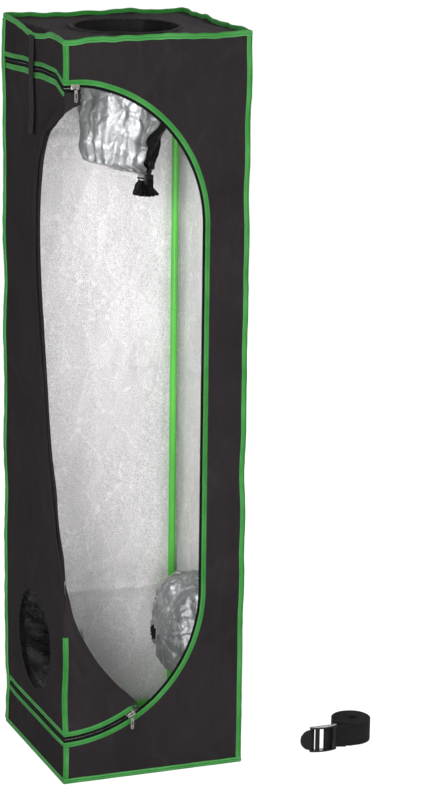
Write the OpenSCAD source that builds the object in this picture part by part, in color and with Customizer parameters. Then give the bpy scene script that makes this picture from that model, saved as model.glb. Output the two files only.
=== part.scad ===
// A grow tent: a square tower of lined cloth over a push-together tube frame, with a zipped D-shaped door
// that wraps round the front left corner, three gathered duct sleeves and a rolled webbing strap beside it.
// Origin: middle of the base on the floor, front towards -Y, up +Z, all sizes in mm.

/* [Cover] */
// Width of the tent over the cloth
tent_w = 405; // [396:1:420]
// Depth of the tent over the cloth
tent_d = 405; // [396:1:420]
// Height of the tent over the roof binding
tent_h = 1600; // [1580:5:1660]
// Thickness of the lined cloth
cloth_t = 1; // [0.8:0.1:1.2]
// Thickness of the sewn green binding over the cloth
binding_t = 2.5; // [2:0.1:3]
// Width of the corner binding on the front and back faces
binding_face = 10; // [8:0.5:12]
// Width of the corner binding on the side faces
binding_side = 6; // [5:0.5:8]
// Width of the binding along the roof and floor edges
edge_band = 12; // [10:0.5:14]
// How far the left roof edge sags between its corners
roof_sag = 16; // [8:1:16]

/* [Door] */
// Radius of the zip bends on the front, on the line of the teeth
zip_r = 303; // [290:1:310]
// Height of the upper zip line over the floor
zip_top_z = 1500; // [1490:5:1510]
// Height of the lower zip line over the floor
zip_low_z = 100; // [90:5:110]
// Distance of each cloth edge from the line of the teeth
cloth_back = 8; // [7:0.5:9]
// Width of the green band on each side of the zip
band_w = 11; // [10:0.5:12]
// Thickness of the green band
band_t = 1; // [0.8:0.1:1.2]
// Width of each zip tape
tape_w = 13.6; // [12:0.2:14]
// Thickness of each zip tape
tape_t = 0.8; // [0.6:0.1:1]
// Width of each row of teeth
teeth_w = 2.6; // [2.2:0.1:3]
// Height of the teeth over the tape
teeth_t = 1.8; // [1.5:0.1:2]
// Angle of the lower slider along its bend, from straight down
low_slider_a = 30; // [28:1:36]
// Angle of the upper slider along its bend, from straight up
top_slider_a = 4.2; // [4:0.2:5]
// Length of a slider body
slider_l = 18; // [16:0.5:20]
// Width of a slider body
slider_w = 10; // [9:0.5:10.5]
// Length of the pull tab with its link
pull_l = 34; // [30:1:38]

/* [Frame] */
// Outer diameter of the frame tubes
tube_d = 16; // [15:0.5:17]
// Wall of the frame tubes
tube_wall = 1; // [0.8:0.1:1.2]
// Distance of the tube centres from the outside of the cloth
tube_inset = 19; // [18.5:0.5:20]
// Side of the corner connector block
block_s = 24; // [22:0.5:24]
// Length of a connector plug inside its tube
plug_l = 32; // [26:1:40]
// Height of the joint between the two halves of each post
joint_z = 800; // [760:10:840]
// Distance of each hanging bar from the middle of the tent
bar_y = 138; // [136:1:142]
// Outer diameter of the hanging bars
bar_d = 12; // [10:0.5:14]

/* [Ports] */
// Diameter of the duct ports
port_d = 220; // [210:2:224]
// Height of the side port centres over the floor
side_port_z = 262; // [258:1:268]
// Length of the roof sleeve below the roof
roof_sleeve_l = 360; // [340:5:380]
// Depth of the left sleeve
left_sleeve_l = 104; // [96:1:112]
// Depth of the right sleeve
right_sleeve_l = 126; // [116:1:136]
// Sideways drift of the end of the roof sleeve
sleeve_drift = 44; // [30:1:50]

/* [Straps] */
// Width of the tie strap at the roof edge
tie_w = 32; // [28:1:36]
// Length of the tie strap
tie_l = 206; // [190:2:220]
// Width of the rolled webbing
web_w = 50; // [46:1:52]
// Thickness of the rolled webbing
web_t = 2; // [1.8:0.1:2]
// Number of turns in the roll
web_turns = 11; // [8:1:12]

/* [Hidden] */
$fa = 6;
$fs = 1.2;
hw = tent_w / 2;
hd = tent_d / 2;
in_x = hw - cloth_t;
in_y = hd - cloth_t;
seat = 0.3;
fit = 0.2;
wall_top = tent_h - binding_t;
roof_z = tent_h - binding_t - 7.5;
band_in = cloth_back - 1.5;
band_out = band_in + band_w;
arc_top_z = zip_top_z - zip_r;
arc_low_z = zip_low_z + zip_r;
post_x = hw - tube_inset;
post_y = hd - tube_inset;
low_rail_z = cloth_t + block_s / 2;
top_rail_z = roof_z - block_s / 2;
bore_d = tube_d - 2 * tube_wall;
plug_d = bore_d - fit;
half_block = block_s / 2;
hinge_y = hd - binding_side - 0.15;
strip_y = hinge_y + 0.15;
flap_y = hinge_y - 0.15;
tape_end_y = hinge_y - 8;
slack = 0.01;
C_CLOTH = [0.2, 0.19, 0.19];
C_SILVER = [0.78, 0.79, 0.8];
C_GREEN = [0.22, 0.58, 0.28];
C_POLE = [0.25, 0.62, 0.2];
C_BLACK = [0.08, 0.08, 0.08];
C_NICKEL = [0.7, 0.68, 0.62];

// Sag of the left roof edge at a distance y from its middle, deepest where the tie strap pulls on it, and
// none over the corner blocks.
function sag(y) =
    let (t = min(1, abs(y) / (post_y - half_block - 2)))
    roof_sag * (0.6 * pow(cos(90 * t), 2) + 0.4 * pow(1 - t, 2));
sag_steps = 28;
sag_ys = [for (i = [0 : sag_steps]) -hd + tent_d * i / sag_steps];

// The line where the opened door turns inwards. First number: run from the front left corner line,
// minus along the left wall and plus along the front. Second number: height.
fold_line = [
    [14, 1474], [0, 1462], [-32, 1440], [-67, 1411], [-106, 1380], [-136, 1341], [-164, 1277],
    [-176, 1200], [-177, 1130], [-173, 1060], [-160, 960], [-147, 870], [-133, 780], [-108, 705],
    [-80, 640], [-44, 550], [-14, 492], [0, 455], [9, 418], [20, 372], [42, 322], [76, 264],
    [118, 212], [146, 186]
];
fold_n = len(fold_line) - 1;

module both_sides() {
    children();
    mirror([1, 0, 0]) children();
}

// A flat piece standing in the front plane: children drawn in run and height from the front left corner.
module on_front(depth, t) {
    translate([-hw, -hd + depth + t, 0]) rotate([90, 0, 0]) linear_extrude(height = t) children();
}

// A flat piece in the left wall plane: children drawn in world y and height.
module on_left(depth, t) {
    translate([-hw + depth, 0, 0]) rotate([90, 0, 90]) linear_extrude(height = t) children();
}

// The area inside the zip line on the front, grown by off.
module door_area(off) {
    r = zip_r + off;
    difference() {
        union() {
            translate([-r, arc_low_z]) square([2 * r, arc_top_z - arc_low_z]);
            translate([0, arc_low_z]) circle(r = r, $fn = 180);
            translate([0, arc_top_z]) circle(r = r, $fn = 180);
        }
        translate([-2 * r, 0]) square([2 * r, tent_h]);
    }
}

// A band along the zip line on the front, between two offsets.
module door_ring(off_a, off_b) {
    difference() {
        door_area(off_b);
        door_area(off_a);
    }
}

// Keeps the bit of a front band between the corner and an angle from straight up or down.
module near_corner(top_a, low_a) {
    r = zip_r * 1.5;
    if (top_a > 0) {
        intersection() {
            children();
            translate([0, arc_top_z]) polygon([[0, 0], [0, r], [r * sin(top_a), r * cos(top_a)]]);
        }
    }
    if (low_a > 0) {
        intersection() {
            children();
            translate([0, arc_low_z]) polygon([[0, 0], [r * sin(low_a), -r * cos(low_a)], [0, -r]]);
        }
    }
}

// Frame
module tube(l, d = tube_d) {
    difference() {
        cylinder(d = d, h = l);
        translate([0, 0, -1]) cylinder(d = d - 2 * tube_wall, h = l + 2);
    }
}

// A corner block with three plugs, towards -X, -Y and -Z as seen from the block. There is no post at the front
// left corner, where the open door would bare it, so the upright plug there stays empty.
module corner_block() {
    difference() {
        translate([-half_block, -half_block, -half_block]) cube(block_s);
        translate([half_block, half_block, 0]) rotate([0, 0, 45]) cube([5, 5, block_s + 2], center = true);
        translate([half_block, 0, half_block]) rotate([0, 45, 0]) cube([5, block_s + 2, 5], center = true);
        translate([0, half_block, half_block]) rotate([45, 0, 0]) cube([block_s + 2, 5, 5], center = true);
    }
    for (turn = [[0, 180, 0], [0, -90, 0], [90, 0, 0]]) {
        rotate(turn) {
            difference() {
                cylinder(d = plug_d, h = half_block + plug_l);
                translate([0, 0, half_block + 4]) cylinder(d = plug_d - 5, h = plug_l);
            }
        }
    }
}

module block_at(sx, sy, top) {
    z = top ? top_rail_z : low_rail_z;
    translate([sx * post_x, sy * post_y, z]) {
        mirror([sx > 0 ? 0 : 1, 0, 0]) mirror([0, sy > 0 ? 0 : 1, 0]) {
            mirror([0, 0, top ? 0 : 1]) corner_block();
        }
    }
}

module post_lower(sx, sy) {
    z0 = low_rail_z + half_block;
    translate([sx * post_x, sy * post_y, z0]) tube(joint_z - z0);
}

// The upper half post has a reduced end that slides into the lower half.
module post_upper(sx, sy) {
    z1 = top_rail_z - half_block;
    translate([sx * post_x, sy * post_y, joint_z]) {
        tube(z1 - joint_z);
        translate([0, 0, -45]) tube(47, plug_d);
        difference() {
            cylinder(d = tube_d, h = 3);
            translate([0, 0, -1]) cylinder(d = plug_d - 2 * tube_wall, h = 5);
        }
    }
}

module rail_x(sy, z) {
    l = 2 * (post_x - half_block);
    translate([-l / 2, sy * post_y, z]) rotate([0, 90, 0]) tube(l);
}

module rail_y(sx, z) {
    l = 2 * (post_y - half_block);
    translate([sx * post_x, -l / 2, z]) rotate([-90, 0, 0]) tube(l);
}

// A hanging bar: a tube between the side rails, with a hook plate at each end that sits over the rail.
module hanging_bar(sy) {
    hook_t = 2;
    hook_r = tube_d / 2 + seat;
    color(C_POLE) translate([0, sy * bar_y, 0]) {
        translate([-(post_x - hook_r - hook_t), 0, top_rail_z]) rotate([0, 90, 0]) {
            tube(2 * (post_x - hook_r - hook_t), bar_d);
        }
        both_sides() {
            translate([-post_x, 0, top_rail_z]) rotate([90, 0, 0]) translate([0, 0, -bar_d / 2]) {
                difference() {
                    union() {
                        cylinder(r = hook_r + hook_t, h = bar_d);
                        translate([0, -hook_r, 0]) cube([hook_r + hook_t, 2 * hook_r - 3, bar_d]);
                    }
                    translate([0, 0, -1]) cylinder(r = hook_r, h = bar_d + 2);
                    translate([-hook_r - hook_t - 1, -2 * hook_r, -1]) {
                        cube([2 * hook_r + hook_t, 2 * hook_r - 2, bar_d + 2]);
                    }
                }
            }
        }
    }
}

module post_front_right_lower() { color(C_POLE) post_lower(1, -1); }
module post_back_left_lower() { color(C_POLE) post_lower(-1, 1); }
module post_back_right_lower() { color(C_POLE) post_lower(1, 1); }
module post_front_right_upper() { color(C_POLE) post_upper(1, -1); }
module post_back_left_upper() { color(C_POLE) post_upper(-1, 1); }
module post_back_right_upper() { color(C_POLE) post_upper(1, 1); }
module rail_base_front() { color(C_POLE) rail_x(-1, low_rail_z); }
module rail_base_back() { color(C_POLE) rail_x(1, low_rail_z); }
module rail_base_left() { color(C_POLE) rail_y(-1, low_rail_z); }
module rail_base_right() { color(C_POLE) rail_y(1, low_rail_z); }
module rail_top_front() { color(C_POLE) rail_x(-1, top_rail_z); }
module rail_top_back() { color(C_POLE) rail_x(1, top_rail_z); }
module rail_top_left() { color(C_POLE) rail_y(-1, top_rail_z); }
module rail_top_right() { color(C_POLE) rail_y(1, top_rail_z); }
module block_base_front_left() { color(C_BLACK) block_at(-1, -1, false); }
module block_base_front_right() { color(C_BLACK) block_at(1, -1, false); }
module block_base_back_left() { color(C_BLACK) block_at(-1, 1, false); }
module block_base_back_right() { color(C_BLACK) block_at(1, 1, false); }
module block_top_front_left() { color(C_BLACK) block_at(-1, -1, true); }
module block_top_front_right() { color(C_BLACK) block_at(1, -1, true); }
module block_top_back_left() { color(C_BLACK) block_at(-1, 1, true); }
module block_top_back_right() { color(C_BLACK) block_at(1, 1, true); }
module hanging_bar_front() { hanging_bar(-1); }
module hanging_bar_back() { hanging_bar(1); }

// Cloth panels
module front_panel() {
    color(C_CLOTH) on_front(0, cloth_t) {
        difference() {
            translate([0, cloth_t]) square([tent_w, wall_top - cloth_t]);
            door_area(cloth_back);
        }
    }
}

module back_wall() {
    color(C_CLOTH) translate([-hw, in_y, cloth_t]) cube([tent_w, cloth_t, wall_top - cloth_t]);
}

module right_wall() {
    color(C_CLOTH) difference() {
        translate([in_x, -in_y, cloth_t]) cube([cloth_t, 2 * in_y, wall_top - cloth_t]);
        translate([in_x - 1, 0, side_port_z]) rotate([0, 90, 0]) {
            cylinder(d = port_d, h = cloth_t + 2, $fn = 120);
        }
    }
}

// The fixed cloth round the door on the left wall: a top band that follows the sagging edge, a base band
// and a narrow strip down the back seam.
module left_wall() {
    color(C_CLOTH) on_left(0, cloth_t) {
        difference() {
            polygon(concat(
                [for (y = sag_ys) [max(-in_y, min(in_y, y)), wall_top - sag(y)]],
                [[in_y, cloth_t], [-in_y, cloth_t]]
            ));
            translate([-hd - 1, zip_low_z - cloth_back]) {
                square([strip_y + hd + 1, zip_top_z - zip_low_z + 2 * cloth_back]);
            }
        }
    }
}

module floor_panel() {
    w = tent_w - 2 * binding_face;
    d = tent_d - 2 * binding_face;
    color(C_SILVER) translate([-w / 2, -d / 2, 0]) cube([w, d, cloth_t]);
}

// The roof: a flat sheet on the corner blocks, with a left margin that drops to the sagging seam.
module roof_panel() {
    x1 = -post_x;
    x0 = -in_x;
    n = sag_steps;
    ys = [for (i = [0 : n]) -in_y + 2 * in_y * i / n];
    top = [for (y = ys) each [[x0, y, roof_z + cloth_t - sag(y)], [x1, y, roof_z + cloth_t]]];
    low = [for (y = ys) each [[x0, y, roof_z - sag(y)], [x1, y, roof_z]]];
    m = 2 * (n + 1);
    faces = concat(
        [for (i = [0 : n - 1]) each [[2 * i, 2 * i + 2, 2 * i + 3], [2 * i, 2 * i + 3, 2 * i + 1]]],
        [for (i = [0 : n - 1]) let (a = m + 2 * i) each [[a, a + 3, a + 2], [a, a + 1, a + 3]]],
        [for (i = [0 : n - 1]) let (a = 2 * i) each [[a, m + a + 2, a + 2], [a, m + a, m + a + 2]]],
        [for (i = [0 : n - 1]) let (a = 2 * i + 1) each [[a, a + 2, m + a + 2], [a, m + a + 2, m + a]]],
        [[0, 1, m + 1], [0, m + 1, m]],
        [[2 * n, m + 2 * n + 1, 2 * n + 1], [2 * n, m + 2 * n, m + 2 * n + 1]]
    );
    color(C_CLOTH) {
        polyhedron(points = concat(top, low), faces = faces, convexity = 6);
        difference() {
            translate([x1, -in_y, roof_z]) cube([in_x - x1, 2 * in_y, cloth_t]);
            translate([0, 0, roof_z - 1]) cylinder(d = port_d, h = cloth_t + 2, $fn = 120);
        }
    }
}

// The part of the door that still lies in the wall planes: nearly all of the left wall and two corners of the
// front, up to the fold line.
module door_flap() {
    zt = zip_top_z - cloth_back;
    zl = zip_low_z + cloth_back;
    left_pts = [for (p = fold_line) if (p[0] < 0) [-hd - p[0], p[1]]];
    color(C_CLOTH) {
        on_left(0, cloth_t) {
            difference() {
                polygon(concat(
                    [[flap_y, zt], [-in_y, zt], [-in_y, fold_line[1][1]]],
                    left_pts,
                    [[-in_y, fold_line[17][1]], [-in_y, zl], [flap_y, zl]]
                ));
                translate([0, side_port_z]) circle(d = port_d, $fn = 120);
            }
        }
        on_front(0, cloth_t) {
            intersection() {
                door_area(-cloth_back);
                union() {
                    polygon([[0, fold_line[1][1]], fold_line[0], [34, zip_top_z], [0, zip_top_z]]);
                    polygon(concat(
                        [for (i = [17 : fold_n]) fold_line[i]],
                        [[168, 164], [182, 140], [0, zip_low_z]]
                    ));
                }
            }
        }
    }
}

// The door edge rolled inwards along the fold line
roll_out = 14;
roll_c = 3.9;
roll_turns = 1.6;
roll_pts = 22;
roll_bend = 14;
roll_from = 1;
function roll_w(k) =
    let (h = fold_line[k][0])
    (h < -30 ? roll_out : (h > 34 ? 10 : 6)) * (k == fold_n ? 0.6 : 1);
function roll_d(k) = let (h = fold_line[k][0]) h < -60 ? 10 + 2.2 * sin(k * 137) : roll_c;
function roll_q(a) = 1 - 0.62 * a / roll_turns;
// Turns run, height and depth behind the cloth into a point, with the corner taken as a small bend.
function unroll(h, z, d) =
    let (
        quarter = roll_bend * PI / 4,
        a = 45 * (h / quarter + 1),
        c = roll_bend
    )
    h < -quarter ? [-in_x + d, -in_y + c - h - quarter, z]
    : (h > quarter ? [-in_x + c + h - quarter, -in_y + d, z]
    : [-in_x + c - (c - d) * cos(a), -in_y + c - (c - d) * sin(a), z]);
function fold_dir(k) =
    let (a = fold_line[max(0, k - 1)], b = fold_line[min(fold_n, k + 1)], v = b - a)
    v / norm(v);
function roll_2d(k, i) =
    let (turn = roll_turns * i / roll_pts, q = roll_q(turn), th = -90 + 360 * turn)
    [roll_w(k) * (q * cos(th) - 1), roll_d(k) * (1 + q * sin(th)) + seat];
function roll_side(k, i) =
    let (v = roll_2d(k, min(roll_pts, i + 1)) - roll_2d(k, max(0, i - 1)), u = v / norm(v))
    roll_2d(k, i) + cloth_t * [-u[1], u[0]];
// Out of the fold plane: the offset towards the opening is along the run, square to the fold line.
function roll_point(k, p) =
    let (f = fold_dir(k), n = [-f[1], f[0]])
    unroll(fold_line[k][0] + n[0] * p[0], fold_line[k][1] + n[1] * p[0], p[1]);

module door_roll() {
    rows = [for (k = [roll_from : fold_n]) concat(
        [for (i = [0 : roll_pts]) roll_point(k, roll_2d(k, i))],
        [for (i = [roll_pts : -1 : 0]) roll_point(k, roll_side(k, i))]
    )];
    color(C_CLOTH) skin(rows);
}

// A closed solid through a list of rings that all have the same number of points.
module skin(rows) {
    n = len(rows);
    m = len(rows[0]);
    body = [for (k = [0 : n - 2]) for (i = [0 : m - 1]) let (j = (i + 1) % m)
        each [[k * m + i, k * m + j, (k + 1) * m + j], [k * m + i, (k + 1) * m + j, (k + 1) * m + i]]];
    half = m / 2;
    caps = [for (i = [0 : half - 2]) each [
        [i, m - 1 - i, m - 2 - i], [i, m - 2 - i, i + 1],
        [(n - 1) * m + i, (n - 1) * m + m - 2 - i, (n - 1) * m + m - 1 - i],
        [(n - 1) * m + i, (n - 1) * m + i + 1, (n - 1) * m + m - 2 - i]
    ]];
    polyhedron(points = [for (r = rows) each r], faces = concat(body, caps), convexity = 10);
}

// Bindings
// Corner binding: an L that covers the seam of a front or back face with a side face.
module corner_l(z0, z1) {
    translate([0, 0, z0]) linear_extrude(height = z1 - z0) {
        difference() {
            translate([-hw - binding_t, -hd - binding_t]) {
                square([binding_face + binding_t, binding_side + binding_t]);
            }
            translate([-hw, -hd]) square([binding_face + 1, binding_side + 1]);
        }
    }
}

module binding_front_left() {
    color(C_GREEN) {
        corner_l(zip_top_z + band_out, tent_h - edge_band);
        corner_l(edge_band, zip_low_z - band_out);
    }
}

module binding_front_right() { color(C_GREEN) mirror([1, 0, 0]) corner_l(edge_band, tent_h - edge_band); }
module binding_back_left() { color(C_GREEN) mirror([0, 1, 0]) corner_l(edge_band, tent_h - edge_band); }
module binding_back_right() {
    color(C_GREEN) mirror([1, 0, 0]) mirror([0, 1, 0]) corner_l(edge_band, tent_h - edge_band);
}

flap_band_top = tent_h * 0.20625;
module flap_corner_binding() {
    color(C_GREEN) corner_l(zip_low_z + band_out, flap_band_top);
}

// The roof binding stands up round the roof. Three sides are straight and the left side follows the sag.
roof_lip = 2;
module roof_edge_profile() {
    translate([-binding_t, tent_h - edge_band]) square([binding_t, edge_band]);
    translate([-binding_t, wall_top]) square([binding_t + cloth_t + roof_lip, binding_t]);
}

module roof_lip_profile() {
    translate([cloth_t, roof_z + cloth_t]) square([roof_lip, wall_top - roof_z - cloth_t + slack]);
}

module sag_strip(x0, x1, zt, zl, y0, y1) {
    translate([x0, 0, 0]) rotate([90, 0, 90]) linear_extrude(height = x1 - x0) {
        polygon(concat(
            [for (y = sag_ys) [max(y0, min(y1, y)), zt - sag(y)]],
            [for (i = [sag_steps : -1 : 0]) let (y = sag_ys[i]) [max(y0, min(y1, y)), zl - sag(y)]]
        ));
    }
}

module roof_binding() {
    lip = roof_lip;
    yy = hd + binding_t;
    color(C_GREEN) {
        for (m = [0, 1]) {
            mirror([0, m, 0]) translate([-hw, -hd, 0]) rotate([90, 0, 90]) {
                linear_extrude(height = tent_w) roof_edge_profile();
                translate([0, 0, cloth_t]) linear_extrude(height = 2 * in_x) roof_lip_profile();
            }
        }
        translate([hw, 0, 0]) mirror([1, 0, 0]) rotate([90, 0, 0]) {
            translate([-binding_t, tent_h - edge_band, -yy]) cube([binding_t, edge_band, 2 * yy]);
            translate([0, 0, -in_y]) linear_extrude(height = 2 * in_y) {
                roof_edge_profile();
                roof_lip_profile();
            }
        }
        sag_strip(-hw - binding_t, -hw, tent_h, tent_h - edge_band, -yy, yy);
        sag_strip(-hw, -in_x + lip, tent_h, wall_top, -in_y, in_y);
        sag_strip(-in_x, -in_x + lip, wall_top + slack, roof_z + cloth_t + lip, -in_y + lip, in_y - lip);
        for (sy = [-1, 1]) {
            translate([-hw - binding_t, sy > 0 ? hd : -yy, tent_h - edge_band]) {
                cube([binding_t, binding_t, edge_band]);
            }
        }
    }
}

module floor_binding() {
    color(C_GREEN) difference() {
        translate([-hw - binding_t, -hd - binding_t, 0]) {
            cube([tent_w + 2 * binding_t, tent_d + 2 * binding_t, edge_band]);
        }
        translate([-hw, -hd, cloth_t]) cube([tent_w, tent_d, edge_band]);
        translate([-hw + binding_face, -hd + binding_face, -1]) {
            cube([tent_w - 2 * binding_face, tent_d - 2 * binding_face, edge_band]);
        }
    }
}

// The green band on the fixed side of the zip, on the left wall and round the front.
module zip_band_frame() {
    color(C_GREEN) {
        on_front(-band_t, band_t) {
            door_ring(band_in, band_out);
            for (z = [zip_top_z + band_in, zip_low_z - band_out]) {
                translate([-band_t, z]) square([band_t + slack, band_w]);
            }
        }
        on_left(-band_t, band_t) {
            for (z = [zip_top_z + band_in, zip_low_z - band_out]) {
                translate([-hd - slack, z]) square([strip_y + hd + slack, band_w]);
            }
        }
    }
}

// The green band on the door side of the zip, as far as the door lies in the wall planes.
module zip_band_flap() {
    color(C_GREEN) {
        on_front(-band_t, band_t) {
            near_corner(0.9, 35) door_ring(-band_out, -band_in);
            for (z = [zip_top_z - band_out, zip_low_z + band_in]) {
                translate([-band_t, z]) square([band_t + slack, band_w]);
            }
        }
        on_left(-band_t, band_t) {
            for (z = [zip_top_z - band_out, zip_low_z + band_in]) {
                translate([-hd - slack, z]) square([tape_end_y + hd + slack, band_w]);
            }
        }
    }
}

// Zip
teeth_gap = 0.2;
tape_gap = 1;

// The straight run of a tape and of a row of teeth on the left wall, with the teeth carried to the corner.
module straight_tape(z) {
    on_left(cloth_t, tape_t) translate([-in_y, z]) square([tape_end_y + in_y, tape_w]);
}

module straight_teeth(z) {
    on_front(cloth_t - teeth_t, teeth_t) {
        translate([cloth_t - teeth_t, z]) square([teeth_t - cloth_t + slack, teeth_w]);
    }
    on_left(cloth_t - teeth_t, teeth_t + slack) {
        translate([-hd - slack, z]) square([tape_end_y + hd, teeth_w]);
    }
}

module zip_half_frame() {
    color(C_BLACK) {
        on_front(cloth_t, tape_t) translate([cloth_t, 0]) square_free_ring(tape_gap, tape_w + tape_gap);
        on_front(cloth_t - teeth_t, teeth_t + slack) door_ring(teeth_gap, teeth_w + teeth_gap);
        for (z = [zip_top_z + tape_gap, zip_low_z - tape_gap - tape_w]) straight_tape(z);
        for (z = [zip_top_z + teeth_gap, zip_low_z - teeth_gap - teeth_w]) straight_teeth(z);
    }
}

// The band along the zip on the front, starting behind the left wall cloth.
module square_free_ring(a, b) {
    intersection() {
        translate([-cloth_t, 0]) door_ring(a, b);
        square([tent_w, tent_h]);
    }
}

top_stop_a = top_slider_a - (slider_l / 2 + 0.6) / zip_r * 180 / PI;
low_stop_a = low_slider_a - (slider_l / 2 + 0.6) / zip_r * 180 / PI;

module zip_half_flap() {
    color(C_BLACK) {
        on_front(cloth_t, tape_t) near_corner(top_stop_a, low_stop_a) {
            translate([cloth_t, 0]) square_free_ring(-tape_w - tape_gap, -tape_gap);
        }
        on_front(cloth_t - teeth_t, teeth_t + slack) near_corner(top_stop_a, low_stop_a) {
            door_ring(-teeth_w - teeth_gap, -teeth_gap);
        }
        for (z = [zip_top_z - tape_gap - tape_w, zip_low_z + tape_gap]) straight_tape(z);
        for (z = [zip_top_z - teeth_gap - teeth_w, zip_low_z + teeth_gap]) straight_teeth(z);
    }
}

// A slider on the front at an angle along a bend: two plates on a neck, with a bail for the pull.
plate_t = 1.6;
face_out = teeth_t - cloth_t + 0.5;
face_in = cloth_t + tape_t + 0.5;
bail_h = 5;
low_pull_x = -hw + zip_r * sin(low_slider_a);
low_pull_z = arc_low_z - zip_r * cos(low_slider_a);
top_pull_x = -hw + zip_r * sin(top_slider_a);
top_pull_z = arc_top_z + zip_r * cos(top_slider_a);

module slider_body(up) {
    s = up ? 1 : -1;
    // Outer plate, inner plate, and the neck between the open rows of teeth.
    translate([-slider_l / 2, -face_out - plate_t, -slider_w / 2]) cube([slider_l, plate_t, slider_w]);
    translate([-slider_l / 2, face_in, -slider_w / 2]) cube([slider_l, plate_t, slider_w]);
    translate([slider_l / 2 - 5, -face_out - slack, -s * 2.6 - 1.8]) {
        cube([4, face_out + face_in + 2 * slack, 3.6]);
    }
    translate([0, -face_out - plate_t, 0]) {
        for (e = [-1, 1]) translate([e * 5.5 - 1, -bail_h, -1.25]) cube([2, bail_h, 2.5]);
        translate([-6.5, -bail_h - 1.5, -1.25]) cube([13, 1.5 + slack, 2.5]);
    }
}

module at_low_slider() {
    translate([low_pull_x, -hd, low_pull_z]) rotate([0, -low_slider_a, 0]) children();
}

module at_top_slider() {
    translate([top_pull_x, -hd, top_pull_z]) rotate([0, top_slider_a, 0]) children();
}

module slider_lower() { color(C_NICKEL) at_low_slider() slider_body(false); }
module slider_upper() { color(C_NICKEL) at_top_slider() slider_body(true); }

// A pull: a ring round the bar of the bail with a flat tab that hangs straight down. Its pivot is the bar.
pull_y = -face_out - plate_t - bail_h - 0.75;
ring_r = 3.9;
wire_d = 1.3;
ring_drop = 1.15;

module pull_at(x, z) {
    tab_w = 7;
    tab_t = 1.4;
    tab_top = -ring_drop - ring_r - 0.3;
    tab_low = ring_r - ring_drop + wire_d / 2 - pull_l + tab_w / 2;
    translate([x, -hd + pull_y, z]) {
        translate([0, 0, -ring_drop]) rotate([90, 0, 90]) rotate_extrude($fn = 40) {
            translate([ring_r, 0]) circle(d = wire_d, $fn = 16);
        }
        difference() {
            union() {
                translate([-tab_w / 2, -tab_t / 2, tab_low]) cube([tab_w, tab_t, tab_top - tab_low]);
                translate([0, tab_t / 2, tab_low]) rotate([90, 0, 0]) cylinder(d = tab_w, h = tab_t);
            }
            translate([0, tab_t, tab_low]) rotate([90, 0, 0]) cylinder(d = 3, h = 2 * tab_t);
            translate([-1.4, -tab_t, tab_low + 5]) cube([2.8, 2 * tab_t, 9]);
        }
    }
}

module pull_lower() { color(C_NICKEL) pull_at(low_pull_x, low_pull_z); }
module pull_upper() { color(C_NICKEL) pull_at(top_pull_x, top_pull_z); }

// Ports
// Sleeves are drawn along +Z from their seam. Each ring has a depth, a radius, a pleat height and a drift.
sleeve_n = 48;
sleeve_t = 1.2;
function ring_pt(r, amp, pleats, drift, z, j, turn) =
    let (a = 360 * j / sleeve_n, rr = r + amp * cos(pleats * a + turn))
    [rr * cos(a) + drift[0], rr * sin(a) + drift[1], z];

module sleeve(rings, pleats) {
    n = len(rings);
    m = sleeve_n;
    outer = [for (g = rings) for (j = [0 : m - 1]) ring_pt(g[1], g[2], pleats, [g[3], g[4]], g[0], j, g[5])];
    inner = [for (g = rings) for (j = [0 : m - 1])
        ring_pt(g[1] - sleeve_t, g[2], pleats, [g[3], g[4]], g[0], j, g[5])];
    base = n * m;
    faces = concat(
        [for (k = [0 : n - 2]) for (j = [0 : m - 1]) let (i = (j + 1) % m, a = k * m, b = a + m)
            each [[a + j, b + i, a + i], [a + j, b + j, b + i]]],
        [for (k = [0 : n - 2]) for (j = [0 : m - 1]) let (i = (j + 1) % m, a = base + k * m, b = a + m)
            each [[a + j, a + i, b + i], [a + j, b + i, b + j]]],
        [for (j = [0 : m - 1]) let (i = (j + 1) % m) each [[j, i, base + i], [j, base + i, base + j]]],
        [for (j = [0 : m - 1]) let (i = (j + 1) % m, e = (n - 1) * m)
            each [[e + j, base + e + i, e + i], [e + j, base + e + j, base + e + i]]]
    );
    polyhedron(points = concat(outer, inner), faces = faces, convexity = 12);
}

port_r = port_d / 2;
mouth_r = port_r + 1 + sleeve_t;
neck_r = 11;
roof_neck = roof_sleeve_l - 42;

function roof_ring(f, r, amp, turn, lean) = [f * roof_neck, r, amp, sleeve_drift * lean, 0, turn];
module roof_sleeve() {
    rings = [
        [0, mouth_r, 0, 0, 0, 0],
        [22, mouth_r, 0, 0, 0, 0],
        roof_ring(0.3, port_r * 0.93, 2, 0, 0),
        roof_ring(0.52, port_r * 0.85, 4, 20, 0),
        roof_ring(0.72, port_r * 0.75, 5, 40, -0.2),
        roof_ring(0.84, port_r * 0.62, 5, 50, -0.25),
        roof_ring(0.93, port_r * 0.26, 3, 30, 0.55),
        roof_ring(0.98, neck_r + 2, 1.2, 10, 0.95),
        roof_ring(1, neck_r, 1, 0, 1),
        roof_ring(1.03, neck_r, 1, 0, 1),
        roof_ring(1.07, neck_r + 7, 3, 30, 1),
        [roof_sleeve_l, neck_r + 15, 5, sleeve_drift * 1.1, 0, 60]
    ];
    color(C_SILVER) translate([0, 0, roof_z]) mirror([0, 0, 1]) sleeve(rings, 12);
}

module left_sleeve() {
    l = left_sleeve_l;
    rings = [
        [0, mouth_r, 0, 0, 0, 0],
        [18, mouth_r, 0, 0, 0, 0],
        [l * 0.26, port_r * 0.9, 2.4, 0, 0, 0],
        [l * 0.38, port_r * 0.66, 4, 2, 0, 25],
        [l * 0.5, port_r * 0.42, 4, 4, 0, 50],
        [l * 0.64, port_r * 0.22, 2.4, 5, 0, 60],
        [l * 0.76, neck_r, 1, 6, 0, 60],
        [l * 0.84, neck_r, 1, 6, 0, 60],
        [l, neck_r + 12, 4, 6, 0, 80]
    ];
    color(C_CLOTH) translate([-in_x, 0, side_port_z]) rotate([0, 90, 0]) sleeve(rings, 12);
}

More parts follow.
